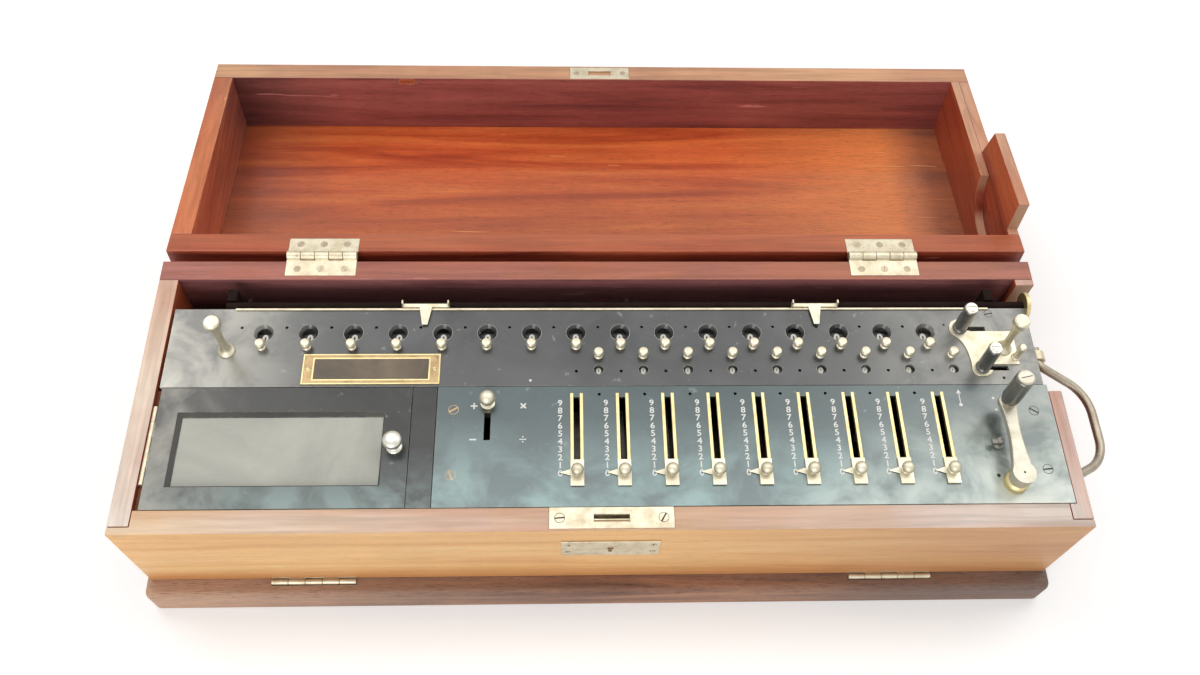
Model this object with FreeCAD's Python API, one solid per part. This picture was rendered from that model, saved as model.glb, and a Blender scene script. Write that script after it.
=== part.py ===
import FreeCAD, Part
import math
import os
from FreeCAD import Vector

# Stepped-drum calculating machine in a fitted wooden case, lid open. Millimetres, +Z up.
# The origin is the middle of the case on the underside of the base board; the operator sits at -Y.

# ---------------------------------------------------------------- driving sizes: wooden case
BASE_T = 24.0            # base board thickness
BASE_LIP_FRONT = 12.0    # how far the base board stands out, front, sides and rear
BASE_LIP_SIDE = 3.5
BASE_LIP_REAR = 3.5
BASE_CORNER_R = 6.0
BASE_TOP_R = 5.0
WELL_H = 86.0            # base board to rim
SIDE_T = 13.0            # side wall thickness
REAR_T = 15.0
FLAP_T = 15.5            # drop front thickness
FLAP_LAP = 5.0           # part of the drop front that laps over the side walls' ends
WOOD_GAP = 0.3
CUT_H = 27.0             # right wall is lowered here so that the carriage can pass
CUT_AHEAD = 4.8          # the lowered part starts this far before the carriage
CUT_BEHIND = 18.6        # and ends this far behind it

# lid
LID_DEPTH = 51.0         # inside, rim to panel
LID_PANEL_T = 9.0
LID_FRONT_T = 16.0
LID_SIDE_T = 14.5
LID_LIP = 2.1            # panel stands out past the lid walls
LID_OPEN = 186.35        # degrees from closed
LID_PIN_BACK = 4.4       # hinge pins behind the rear wall
WING_T = 8.0             # board on the lid that fills the lowered part of the right wall
WING_SLANT = 7.0
WING_GAP = 1.0
PANEL_CHAMFER = 1.0
SCOOP_R = 30.0           # hollow for the carriage's end bearing
SCOOP_FROM_REAR = 45.0

# ---------------------------------------------------------------- driving sizes: calculating machine
PITCH = 29.42            # column to column
SETTING_COLUMNS = 9
RESULT_DIALS = 16
COUNTER_DIALS = 9
LEFT_END = 62.6          # left wall to first result dial
RIGHT_END = 70.1         # last result dial to right wall
DIGITS = 9
PLATE_T = 2.5
PLATE_GAP = 0.3
SETTING_D = 82.7         # front to rear of the setting plate
CARRIAGE_D = 58.6
TROUGH_D = 23.6          # free space behind the carriage
REBATE = 4.0             # setting plate's seat in the right wall
MECH_RISE = 2.4          # frame's top above the lowered right wall
RUN = 0.05               # radial clearance of a running fit
NEAR = 0.3               # clearance of parts that pass each other

SETTING_LEFT = 107.7     # setting plate's left edge, from the middle of the case
STRIP_W = 15.5           # fixed strip between setting plate and accessory lid
SLOT_W = 4.1
SLOT_FRONT = 17.2        # from the setting plate's front edge
SLOT_BACK = 7.8          # from its rear edge
GUIDE_W = 2.1            # brass strips either side of the slot
GUIDE_T = 3.0
GUIDE_BACK = 4.9
ZERO_Y = 21.9            # slider knob at digit 0, from the plate's front edge
NINE_BACK = 12.1         # and at digit 9, from its rear edge
SLIDER_W = 8.6
SLIDER_L = 17.5
SLIDER_FRONT = 8.7       # slider plate's front end to its knob
SLIDER_T = 1.2
POINTER_L = 6.8
POINTER_W = 4.2
POINTER_LEAN = 0.3       # its point, behind the knob's middle
KNOB_R = 4.0
REV_X = 75.3             # reversing lever, left of the middle
REV_L = 28.7             # its slot
REV_BACK = 9.2           # from the plate's rear edge
REV_BALL_R = 5.1
REV_BALL_Z = 8.0
REV_FOOT_R = 4.6
REV_NECK_H = 4.5

DRUM_Z = 33.0            # drum axis above the base board
DRUM_ROOT_R = 11.4
DRUM_TIP_R = 13.8
DRUM_SHAFT_R = 2.5
AXIS_DISTANCE = 20.5     # drum to setting shaft
PINION_ROOT_R = 6.0
PINION_TIP_R = 8.2
PINION_T = 5.0
SQUARE = 5.0             # setting shaft across flats
MAIN_R = 3.0
BEVEL_R = 5.6
BEVEL_T = 3.0

CRANK_FROM_RIGHT = 31.5  # crank axis to right inside wall
CRANK_Y = 13.7           # from the setting plate's front edge
CRANK_R = 49.0
CRANK_SHAFT_R = 4.0
COLLAR_R = 7.6
COLLAR_H = 6.0
ARM_Z = 12.0             # arm's underside above the plates
ARM_T = 4.3
GRIP_R = 6.0
GRIP_H = 29.0

RESULT_Y = 29.2          # dial axes, from the carriage's front edge
COUNTER_Y = 22.2
RESULT_WINDOW_Y = 40.0
COUNTER_WINDOW_Y = 11.8
WINDOW_R = 6.4
WINDOW_HOLE_R = 4.6
COUNTER_WINDOW_R = 3.25
RESULT_DISC_R = 13.0
COUNTER_DISC_R = 12.4
DISC_T = 1.2
DISC_DROP = 0.6          # counter discs under the plate
DISC_STEP = 2.6          # result discs lie this much lower
DIAL_SHAFT_R = 1.6
LOWER_PLATE_Z = 16.0     # lower carriage plate's top, under the rim
LOWER_PLATE_T = 2.0
CARRIAGE_LOW = 24.0      # lowest part of the carriage, under the rim
ROD_R = 3.0
ROD_BACK = 3.6           # rod axis behind the carriage plate's rear edge
ROD_DROP = 3.0           # rod axis under the rim
EAR_R = 9.5
EAR_T = 2.7

BAIL_R = 3.0
BAIL_DROP = 35.0         # pivot under the rim
BAIL_MID = 88.0          # from the front face
BAIL_GRIP = 50.0
BAIL_SPAN = 100.0
BAIL_REACH = 34.0
BAIL_STANDOFF = 6.5
BAIL_REST = 13.6         # right bail stands this far below level

# ---------------------------------------------------------------- places that follow
INNER_W = LEFT_END + (RESULT_DIALS - 1) * PITCH + RIGHT_END
XL = -INNER_W / 2
XR = INNER_W / 2
CASE_W = INNER_W + 2 * SIDE_T
CASE_D = FLAP_T + PLATE_GAP + SETTING_D + PLATE_GAP + CARRIAGE_D + TROUGH_D + REAR_T
Y_FRONT = -CASE_D / 2
Y_REAR = CASE_D / 2
Z_BASE = BASE_T
RIM = BASE_T + WELL_H
UNDER = RIM - PLATE_T
Y_SET = Y_FRONT + FLAP_T + PLATE_GAP
Y_SET_REAR = Y_SET + SETTING_D
Y_CAR = Y_SET_REAR + PLATE_GAP
Y_CAR_REAR = Y_CAR + CARRIAGE_D
Y_CUT_FRONT = Y_CAR - CUT_AHEAD
Y_CUT_REAR = Y_CAR_REAR + CUT_BEHIND
SET_L = -SETTING_LEFT
SET_R = XR + REBATE
TRAY_R = SET_L - PLATE_GAP - STRIP_W
CAR_L = XL + 2.0
CAR_R = XR + 2.0
DRUM_AXIS_Z = Z_BASE + DRUM_Z
SQUARE_Z = DRUM_AXIS_Z + AXIS_DISTANCE
ROD_Y = Y_CAR_REAR + ROD_BACK
ROD_Z = RIM - ROD_DROP
LID_PIN_Y = Y_REAR + LID_PIN_BACK
LID_PIN_Z = RIM + WOOD_GAP / 2
CRANK_X = XR - CRANK_FROM_RIGHT
CRANK_AXIS_Y = Y_SET + CRANK_Y
ZERO = Y_SET + ZERO_Y
DIGIT = (SETTING_D - ZERO_Y - NINE_BACK) / DIGITS
REV_Y = Y_SET_REAR - REV_BACK
MECH_TOP = RIM - CUT_H + MECH_RISE


def result_x(i):
    return XL + LEFT_END + i * PITCH


def column_x(k):
    return result_x(RESULT_DIALS - SETTING_COLUMNS + k)


def counter_x(k):
    return column_x(k) + PITCH / 2


# ---------------------------------------------------------------- small helpers
def box(x0, x1, y0, y1, z0, z1):
    return Part.makeBox(x1 - x0, y1 - y0, z1 - z0, Vector(x0, y0, z0))


def post(x, y, z0, z1, r):
    return Part.makeCylinder(r, z1 - z0, Vector(x, y, z0))


def rod_x(x0, x1, y, z, r):
    return Part.makeCylinder(r, x1 - x0, Vector(x0, y, z), Vector(1, 0, 0))


def rod_y(x, y0, y1, z, r):
    return Part.makeCylinder(r, y1 - y0, Vector(x, y0, z), Vector(0, 1, 0))


def prism(points, direction):
    outline = Part.makePolygon(points + [points[0]])
    return Part.Face(outline).extrude(direction)


def turned(x, y, z, outline):
    """Solid of revolution about a vertical axis; outline is (radius, height) pairs from foot to top."""
    points = [Vector(x, y, z + outline[0][1])]
    points += [Vector(x + r, y, z + h) for r, h in outline]
    points += [Vector(x, y, z + outline[-1][1])]
    face = Part.Face(Part.makePolygon(points + [points[0]]))
    return face.revolve(Vector(x, y, z), Vector(0, 0, 1), 360)


def shaped(r, h, outline):
    """Outline for turned() from shares of the largest radius and of the height."""
    return [(r * a, h * b) for a, b in outline]


def arc_between(a, b, bulge):
    """Arc from a to b whose middle stands out from the chord by bulge, to the left of a to b."""
    chord = b - a
    side = Vector(-chord.y, chord.x, 0).normalize()
    return Part.Arc(a, (a + b) * 0.5 + side * bulge, b).toShape()


def save(node, solids):
    shape = solids[0] if len(solids) == 1 else Part.makeCompound(solids)
    shape.exportStep(os.path.join("parts", node + ".step"))


def fused(solids):
    return solids[0].multiFuse(solids[1:]).removeSplitter()


def drilled(solid, holes):
    return solid.cut(holes[0].multiFuse(holes[1:])) if len(holes) > 1 else solid.cut(holes[0])


# ---------------------------------------------------------------- butt hinges
KNUCKLES = 5
PIN_R = 1.2
KNUCKLE_SPACE = 0.15
LEAF_GAP = 0.15          # drop-front hinge: pin to the moving leaf


def hinge_half(x_mid, length, pin_y, pin_z, knuckle_r, leaf_end, z0, z1, moving):
    """One half of a butt hinge. The leaf runs from beside the knuckles to y = leaf_end."""
    step = length / KNUCKLES
    first = x_mid - length / 2
    side = 1 if leaf_end > pin_y else -1
    near = pin_y + side * (knuckle_r + NEAR)
    parts = [box(first, first + length, min(near, leaf_end), max(near, leaf_end), z0, z1)]
    for i in range(1 if moving else 0, KNUCKLES, 2):
        a = first + i * step + KNUCKLE_SPACE
        b = first + (i + 1) * step - KNUCKLE_SPACE
        parts.append(rod_x(a, b, pin_y, pin_z, knuckle_r))
        parts.append(box(a, b, min(near, pin_y), max(near, pin_y), z0, z1))
    if moving:
        return fused(parts).cut(rod_x(first - 1, first + length + 1, pin_y, pin_z, PIN_R + RUN))
    parts.append(rod_x(first + KNUCKLE_SPACE, first + length - KNUCKLE_SPACE, pin_y, pin_z, PIN_R))
    return fused(parts)


# lid hinges: leaves let into the rims of the rear wall and the lid
LID_HINGE_X = (-192.5, 197.0)
LID_HINGE_L = 48.0
LID_KNUCKLE_R = 3.25
LID_LEAF_T = 1.5
LID_LEAF_D = 11.6

# drop-front hinges: leaves between the base board and the flap
FLAP_HINGE_X = (-192.5, 193.0)
FLAP_HINGE_L = 56.0
FLAP_KNUCKLE_R = 2.0
FLAP_LEAF_T = 1.25
FLAP_LEAF_D = 12.0
FLAP_PIN_Y = Y_FRONT - FLAP_KNUCKLE_R - 0.2
FLAP_PIN_Z = Z_BASE + 0.2
LEAF_RUN = 0.05


def lid_leaf_recess(z0, z1):
    return [
        box(x - LID_HINGE_L / 2, x + LID_HINGE_L / 2, Y_REAR - LID_LEAF_D, Y_REAR + 1, z0, z1)
        for x in LID_HINGE_X
    ]


# ---------------------------------------------------------------- wooden case
def base_board():
    board = box(
        -CASE_W / 2 - BASE_LIP_SIDE, CASE_W / 2 + BASE_LIP_SIDE,
        Y_FRONT - BASE_LIP_FRONT, Y_REAR + BASE_LIP_REAR, 0, BASE_T,
    )
    upright = [e for e in board.Edges if abs(e.tangentAt(e.FirstParameter).z) > 0.9]
    board = board.makeFillet(BASE_CORNER_R, upright)
    top = [e for e in board.Edges if e.BoundBox.ZMin > BASE_T - 0.1]
    board = board.makeFillet(BASE_TOP_R, top)
    for x in FLAP_HINGE_X:
        a = x - FLAP_HINGE_L / 2 - LEAF_RUN
        b = x + FLAP_HINGE_L / 2 + LEAF_RUN
        board = board.cut(box(a, b, Y_FRONT, Y_FRONT + FLAP_LEAF_D + LEAF_RUN,
                              Z_BASE - FLAP_LEAF_T - LEAF_RUN, Z_BASE + 1))
        board = board.cut(box(a, b, FLAP_PIN_Y - FLAP_KNUCKLE_R - NEAR, Y_FRONT,
                              FLAP_PIN_Z - FLAP_KNUCKLE_R - NEAR, Z_BASE + 1))
    return [board]


def case_walls():
    rear = box(-CASE_W / 2, CASE_W / 2, Y_REAR - REAR_T, Y_REAR, Z_BASE, RIM)
    rear = drilled(rear, lid_leaf_recess(RIM - LID_LEAF_T - LEAF_RUN, RIM + 1))
    y0 = Y_FRONT + FLAP_LAP + WOOD_GAP
    y1 = Y_REAR - REAR_T
    left = box(-CASE_W / 2, XL, y0, y1, Z_BASE, RIM)
    low = RIM - CUT_H
    outline = [(y0, Z_BASE), (y1, Z_BASE), (y1, RIM), (Y_CUT_REAR, RIM), (Y_CUT_REAR, low),
               (Y_CUT_FRONT, low), (Y_CUT_FRONT, RIM), (y0, RIM)]
    right = prism([Vector(XR, y, z) for y, z in outline], Vector(SIDE_T, 0, 0))
    right = right.cut(box(XR - 1, SET_R + PLATE_GAP, Y_SET - PLATE_GAP, Y_CUT_FRONT + 1,
                          UNDER - LEAF_RUN, RIM + 1))
    return [rear, left, right]


LOCK_X = 2.3             # middle of the lock
LOCK_PLATE_L = 76.5
LOCK_PLATE_W = 13.7
LOCK_PLATE_T = 1.5
LOCK_L = 50.0
LOCK_H = 38.0
LOCK_BODY_T = 8.0
ESCUTCHEON_L = 62.0
ESCUTCHEON_H = 24.0
ESCUTCHEON_T = 1.0
ESCUTCHEON_DROP = 29.0   # its middle under the rim
KEYHOLE_R = 2.2
KEYHOLE_SLOT = 2.4
KEYHOLE_H = 6.5
BOLT_L = 22.0            # opening for the strike's hooks
BOLT_W = 5.0
BOLT_BACK = 4.5          # from the flap's inner face


def lock_body(grow):
    return box(LOCK_X - LOCK_L / 2 - grow, LOCK_X + LOCK_L / 2 + grow,
               Y_SET - PLATE_GAP - LOCK_BODY_T - grow, Y_SET - PLATE_GAP,
               RIM - LOCK_PLATE_T - LOCK_H - grow, RIM - LOCK_PLATE_T)


def keyhole(y0, y1):
    z = RIM - ESCUTCHEON_DROP
    slot = box(LOCK_X - KEYHOLE_SLOT / 2, LOCK_X + KEYHOLE_SLOT / 2, y0, y1, z - KEYHOLE_H, z)
    return slot.fuse(rod_y(LOCK_X, y0, y1, z, KEYHOLE_R))


def front_flap():
    y1 = Y_FRONT + FLAP_T
    flap = box(-CASE_W / 2, CASE_W / 2, Y_FRONT, y1, Z_BASE + WOOD_GAP, RIM)
    cuts = [
        box(-CASE_W / 2 - 1, XL + WOOD_GAP, Y_FRONT + FLAP_LAP, y1 + 1, 0, RIM + 1),
        box(XR - WOOD_GAP, CASE_W / 2 + 1, Y_FRONT + FLAP_LAP, y1 + 1, 0, RIM + 1),
        box(LOCK_X - LOCK_PLATE_L / 2, LOCK_X + LOCK_PLATE_L / 2, y1 - LOCK_PLATE_W, y1 + 1,
            RIM - LOCK_PLATE_T, RIM + 1),
        lock_body(LEAF_RUN),
        keyhole(Y_FRONT - 1, y1),
    ]
    for x in FLAP_HINGE_X:
        cuts.append(box(x - FLAP_HINGE_L / 2 - LEAF_RUN, x + FLAP_HINGE_L / 2 + LEAF_RUN, Y_FRONT - 1,
                        Y_FRONT + FLAP_LEAF_D + LEAF_RUN, 0, FLAP_PIN_Z + LEAF_GAP + FLAP_LEAF_T + LEAF_RUN))
    return [drilled(flap, cuts)]


def flap_hardware():
    y1 = Y_FRONT + FLAP_T
    plate = box(LOCK_X - LOCK_PLATE_L / 2, LOCK_X + LOCK_PLATE_L / 2, y1 - LOCK_PLATE_W, y1,
                RIM - LOCK_PLATE_T, RIM)
    plate = plate.cut(box(LOCK_X - BOLT_L / 2, LOCK_X + BOLT_L / 2, y1 - BOLT_BACK - BOLT_W, y1 - BOLT_BACK,
                          RIM - 2 * LOCK_PLATE_T, RIM + 1))
    z = RIM - ESCUTCHEON_DROP
    escutcheon = box(LOCK_X - ESCUTCHEON_L / 2, LOCK_X + ESCUTCHEON_L / 2, Y_FRONT - ESCUTCHEON_T, Y_FRONT,
                     z - ESCUTCHEON_H / 2, z + ESCUTCHEON_H / 2)
    escutcheon = escutcheon.cut(keyhole(Y_FRONT - ESCUTCHEON_T - 1, Y_FRONT + 1))
    body = lock_body(0).cut(box(LOCK_X - BOLT_L / 2, LOCK_X + BOLT_L / 2, y1 - BOLT_BACK - BOLT_W / 2,
                                y1 - BOLT_BACK, RIM - BOLT_L / 2, RIM))
    leaves = [
        hinge_half(x, FLAP_HINGE_L, FLAP_PIN_Y, FLAP_PIN_Z, FLAP_KNUCKLE_R, Y_FRONT + FLAP_LEAF_D,
                   FLAP_PIN_Z + LEAF_GAP, FLAP_PIN_Z + LEAF_GAP + FLAP_LEAF_T, True)
        for x in FLAP_HINGE_X
    ]
    return [plate, escutcheon, body] + leaves


def opened(solid):
    """Turn a piece of the closed lid about the hinge pins to where it lies open."""
    copy = solid.copy()
    copy.rotate(Vector(0, LID_PIN_Y, LID_PIN_Z), Vector(-1, 0, 0), LID_OPEN)
    return copy


STRIKE_X = 2.9
STRIKE_L = 47.0
STRIKE_W = 13.3
STRIKE_T = 1.5
STRIKE_IN = 1.5          # from the lid's front face
STRIKE_SLOT_L = 18.0
STRIKE_SLOT_W = 5.0


def lid_boards():
    z0 = RIM + WOOD_GAP
    z1 = z0 + LID_DEPTH
    half = CASE_W / 2
    front = box(-half, half, Y_FRONT, Y_FRONT + LID_FRONT_T, z0, z1)
    front = front.cut(box(STRIKE_X - STRIKE_L / 2, STRIKE_X + STRIKE_L / 2, Y_FRONT + STRIKE_IN,
                          Y_FRONT + STRIKE_IN + STRIKE_W, z0 - 1, z0 + STRIKE_T))
    rear = box(-half, half, Y_REAR - LID_FRONT_T, Y_REAR, z0, z1)
    rear = drilled(rear, lid_leaf_recess(z0 - 1, z0 + LID_LEAF_T + LEAF_RUN))
    ya = Y_FRONT + LID_FRONT_T
    yb = Y_REAR - LID_FRONT_T
    left = box(-half, -half + LID_SIDE_T, ya, yb, z0, z1)
    inner = box(half - LID_SIDE_T, half - WING_T, ya, yb, z0, z1)
    inner = inner.cut(rod_x(half - LID_SIDE_T - 1, half - WING_T + 1, Y_REAR - SCOOP_FROM_REAR, z0, SCOOP_R))
    low = z0 - CUT_H + WING_GAP
    wing_front = Y_CUT_FRONT + 2 * WING_GAP
    wing_rear = Y_CUT_REAR - WING_GAP
    outline = [(ya, z0), (wing_front, z0), (wing_front + WING_SLANT, low), (wing_rear, low), (wing_rear, z0),
               (yb, z0), (yb, z1), (ya, z1)]
    outer = prism([Vector(half - WING_T, y, z) for y, z in outline], Vector(WING_T, 0, 0))
    panel = box(-half - LID_LIP, half + LID_LIP, Y_FRONT - LID_LIP, Y_REAR + LID_LIP, z1, z1 + LID_PANEL_T)
    top = [e for e in panel.Edges if e.BoundBox.ZMin > z1 + LID_PANEL_T - 0.1]
    panel = panel.makeChamfer(PANEL_CHAMFER, top)
    return [opened(s) for s in (front, rear, left, inner, outer, panel)]


def lid_hardware():
    z0 = RIM + WOOD_GAP
    y0 = Y_FRONT + STRIKE_IN
    slot_y = y0 + (STRIKE_W - STRIKE_SLOT_W) / 2
    strike = box(STRIKE_X - STRIKE_L / 2, STRIKE_X + STRIKE_L / 2, y0, y0 + STRIKE_W, z0, z0 + STRIKE_T)
    strike = strike.cut(box(STRIKE_X - STRIKE_SLOT_L / 2, STRIKE_X + STRIKE_SLOT_L / 2, slot_y,
                            slot_y + STRIKE_SLOT_W, z0 - 1, z0 + 2 * STRIKE_T))
    leaves = [
        hinge_half(x, LID_HINGE_L, LID_PIN_Y, LID_PIN_Z, LID_KNUCKLE_R, Y_REAR - LID_LEAF_D,
                   z0, z0 + LID_LEAF_T, True)
        for x in LID_HINGE_X
    ]
    return [opened(s) for s in [strike] + leaves]


# ---------------------------------------------------------------- carrying handles
BRACKET_T = 2.0
BRACKET_W = 26.0
BRACKET_H = 14.0
EYE_R = 5.2
EYE_L = 7.0
WEB_H = 7.0
KNEE_GAP = 3.0           # eye to the bend
KNEE_BEND_R = 6.6        # beside the eyes
GRIP_BEND_R = 26.0       # at the grip's ends
BAIL_RUN = 0.09
BAIL_PIVOT_X = CASE_W / 2 + BAIL_STANDOFF
BAIL_Z = RIM - BAIL_DROP
BAIL_Y = Y_FRONT + BAIL_MID


def bracket(side, end):
    """Screwed plate with an eye that holds one end of a bail."""
    y = BAIL_Y + end * BAIL_SPAN / 2
    face = side * CASE_W / 2
    far = side * (CASE_W / 2 + BRACKET_T)
    plate = box(min(face, far), max(face, far), y - BRACKET_W / 2, y + BRACKET_W / 2,
                BAIL_Z - BRACKET_H / 2, BAIL_Z + BRACKET_H / 2)
    x = side * BAIL_PIVOT_X
    eye = rod_y(x, y - EYE_L / 2, y + EYE_L / 2, BAIL_Z, EYE_R)
    web = box(min(face, x), max(face, x), y - EYE_L / 2, y + EYE_L / 2, BAIL_Z - WEB_H / 2, BAIL_Z + WEB_H / 2)
    return fused([plate, eye, web]).cut(rod_y(x, y - EYE_L, y + EYE_L, BAIL_Z, BAIL_R + BAIL_RUN))


def rounded_path(points, radii):
    """Wire of straight runs joined by tangent arcs; one radius for each inner point."""
    edges = []
    start = points[0]
    for i in range(1, len(points) - 1):
        back = (points[i - 1] - points[i]).normalize()
        ahead = (points[i + 1] - points[i]).normalize()
        half = back.getAngle(ahead) / 2
        radius = radii[i - 1]
        reach = radius / math.tan(half)
        a = points[i] + back * reach
        b = points[i] + ahead * reach
        middle = points[i] + (back + ahead).normalize() * (radius / math.sin(half) - radius)
        edges.append(Part.makeLine(start, a))
        edges.append(Part.Arc(a, middle, b).toShape())
        start = b
    edges.append(Part.makeLine(start, points[-1]))
    return Part.Wire(edges)


def bail(side):
    """Bent rod whose two ends turn in the eyes; modelled level, grip outwards."""
    x = side * BAIL_PIVOT_X
    out = side * (BAIL_PIVOT_X + BAIL_REACH)
    end = BAIL_SPAN / 2
    knee = end - EYE_L / 2 - KNEE_GAP
    grip = BAIL_GRIP / 2
    plan = [(x, -end - EYE_L), (x, -knee), (out, -grip), (out, grip), (x, knee), (x, end + EYE_L)]
    path = rounded_path([Vector(px, BAIL_Y + py, BAIL_Z) for px, py in plan],
                        [KNEE_BEND_R, GRIP_BEND_R, GRIP_BEND_R, KNEE_BEND_R])
    ring = Part.Wire(Part.makeCircle(BAIL_R, path.Vertexes[0].Point, Vector(0, 1, 0)))
    return path.makePipeShell([ring], True, False)


def right_bail():
    solid = bail(1)
    solid.rotate(Vector(BAIL_PIVOT_X, 0, BAIL_Z), Vector(0, 1, 0), BAIL_REST)
    return [solid]


def left_bail():
    solid = bail(-1)
    solid.rotate(Vector(-BAIL_PIVOT_X, 0, BAIL_Z), Vector(0, 1, 0), -90)
    return [solid]


def case_hardware():
    lid_leaves = [
        hinge_half(x, LID_HINGE_L, LID_PIN_Y, LID_PIN_Z, LID_KNUCKLE_R, Y_REAR - LID_LEAF_D,
                   RIM - LID_LEAF_T, RIM, False)
        for x in LID_HINGE_X
    ]
    flap_leaves = [
        hinge_half(x, FLAP_HINGE_L, FLAP_PIN_Y, FLAP_PIN_Z, FLAP_KNUCKLE_R, Y_FRONT + FLAP_LEAF_D,
                   Z_BASE - FLAP_LEAF_T, Z_BASE, False)
        for x in FLAP_HINGE_X
    ]
    brackets = [bracket(side, end) for side in (-1, 1) for end in (-1, 1)]
    return lid_leaves + flap_leaves + brackets


# ---------------------------------------------------------------- accessory compartment
TRAY_BOARD = 5.0
TRAY_LID_T = 4.0
TRAY_RAIL_DROP = 0.2
SLATE_MARGIN = 16.5
SLATE_FRONT = 14.5
SLATE_REAR = 17.5
SLATE_T = 2.0
SLATE_DROP = 1.0
TRAY_PIN_R = 1.0
TRAY_KNUCKLE_R = 1.6
TRAY_HINGE_FRONT = 16.5
TRAY_HINGE_BACK = 13.2   # from the setting plate's rear edge
TRAY_STRIP_T = 1.0
TRAY_TAB_T = 1.4
TRAY_KNOB_Y = 40.5
TRAY_KNOB_IN = 9.2
TRAY_KNOB_R = 6.4
TRAY_KNOB_H = 14.0
TRAY_KNOB_SHAPE = [(0.81, 0), (0.81, 0.09), (0.44, 0.16), (0.44, 0.43), (0.87, 0.57), (1, 0.73), (0.87, 0.90),
                   (0.47, 1)]
SLATE_LEDGE = 3.0        # the frame under the slate's edge
SLATE_FOOT = RIM - SLATE_DROP - SLATE_T
TRAY_PIN_X = XL + TRAY_KNUCKLE_R + NEAR
TRAY_PIN_Z = RIM - TRAY_KNUCKLE_R
TRAY_LID_L = TRAY_PIN_X + TRAY_KNUCKLE_R + NEAR
TRAY_STEP = (SETTING_D - TRAY_HINGE_FRONT - TRAY_HINGE_BACK) / KNUCKLES


def accessory_tray():
    top = RIM - TRAY_LID_T - TRAY_RAIL_DROP
    floor = box(XL, TRAY_R, Y_SET, Y_CAR - PLATE_GAP, Z_BASE, Z_BASE + TRAY_BOARD)
    front = box(XL, TRAY_R, Y_SET, Y_SET + TRAY_BOARD, Z_BASE + TRAY_BOARD, top)
    rear = box(XL, TRAY_R, Y_CAR - PLATE_GAP - TRAY_BOARD, Y_CAR - PLATE_GAP, Z_BASE + TRAY_BOARD, top)
    divider = box(TRAY_R, TRAY_R + TRAY_BOARD, Y_SET, Y_CAR - PLATE_GAP, Z_BASE, UNDER)
    rail = box(XL, XL + TRAY_BOARD, Y_SET + TRAY_BOARD, Y_CAR - PLATE_GAP - TRAY_BOARD,
               Z_BASE + TRAY_BOARD, top)
    return [floor, front, rear, divider, rail]


def tray_lid():
    """Black frame with a rebate for the slate, hinged at its left edge."""
    x1 = TRAY_R - NEAR
    y0 = Y_SET
    y1 = Y_CAR - 2 * PLATE_GAP
    frame = box(TRAY_LID_L, x1, y0, y1, RIM - TRAY_LID_T, RIM)
    frame = drilled(frame, [slate_block(0, SLATE_FOOT, RIM + 1),
                            slate_block(SLATE_LEDGE, RIM - 2 * TRAY_LID_T, SLATE_FOOT + 1)])
    knob = turned(TRAY_R - TRAY_KNOB_IN, Y_SET + TRAY_KNOB_Y, RIM,
                  shaped(TRAY_KNOB_R, TRAY_KNOB_H, TRAY_KNOB_SHAPE))
    pieces = [frame, knob]
    for i in (1, 3):
        a = Y_SET + TRAY_HINGE_FRONT + i * TRAY_STEP + KNUCKLE_SPACE
        b = a + TRAY_STEP - 2 * KNUCKLE_SPACE
        pieces.append(rod_y(TRAY_PIN_X, a, b, TRAY_PIN_Z, TRAY_KNUCKLE_R))
        pieces.append(box(TRAY_PIN_X, TRAY_LID_L, a, b,
                          TRAY_PIN_Z - TRAY_TAB_T / 2, TRAY_PIN_Z + TRAY_TAB_T / 2))
    bore = rod_y(TRAY_PIN_X, Y_SET, Y_CAR, TRAY_PIN_Z, TRAY_PIN_R + RUN)
    return [fused(pieces).cut(bore)]


def slate_block(inset, bottom, top):
    """The slate's own space, or a smaller one inside it."""
    return box(XL + SLATE_MARGIN + inset, TRAY_R - SLATE_MARGIN - inset, Y_SET + SLATE_FRONT + inset,
               Y_CAR - PLATE_GAP - SLATE_REAR - inset, bottom, top)


def slate_panel():
    return [slate_block(0, SLATE_FOOT, RIM - SLATE_DROP)]


def tray_hinge():
    """Fixed half of the accessory lid's hinge: a strip against the left wall, with its pin."""
    y0 = Y_SET + TRAY_HINGE_FRONT
    foot = RIM - TRAY_LID_T
    pieces = [rod_y(TRAY_PIN_X, y0, y0 + KNUCKLES * TRAY_STEP, TRAY_PIN_Z, TRAY_PIN_R),
              box(XL, XL + TRAY_STRIP_T, y0, y0 + KNUCKLES * TRAY_STEP, foot,
                  TRAY_PIN_Z - TRAY_KNUCKLE_R - RUN)]
    for i in (0, 2, 4):
        a = y0 + i * TRAY_STEP
        pieces.append(rod_y(TRAY_PIN_X, a, a + TRAY_STEP, TRAY_PIN_Z, TRAY_KNUCKLE_R))
        pieces.append(box(XL, TRAY_PIN_X, a, a + TRAY_STEP, foot, foot + TRAY_TAB_T))
    return fused(pieces)


# ---------------------------------------------------------------- setting plate
PEG_R = 1.0
PEG_BACK = 5.7           # from the setting plate's rear edge
GUIDE_PROUD = 0.1


def slot_opening(k):
    """Slider slot with the two side channels that hold the brass guide strips."""
    x = column_x(k)
    half = SLOT_W / 2 + GUIDE_W
    y0 = Y_SET + SLOT_FRONT
    guide_end = Y_SET_REAR - GUIDE_BACK
    whole = box(x - half, x + half, y0, Y_SET_REAR - SLOT_BACK, UNDER - 1, RIM + 1)
    left = box(x - half, x - SLOT_W / 2, y0, guide_end, UNDER - 1, RIM + 1)
    right = box(x + SLOT_W / 2, x + half, y0, guide_end, UNDER - 1, RIM + 1)
    return [whole, left, right]


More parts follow.
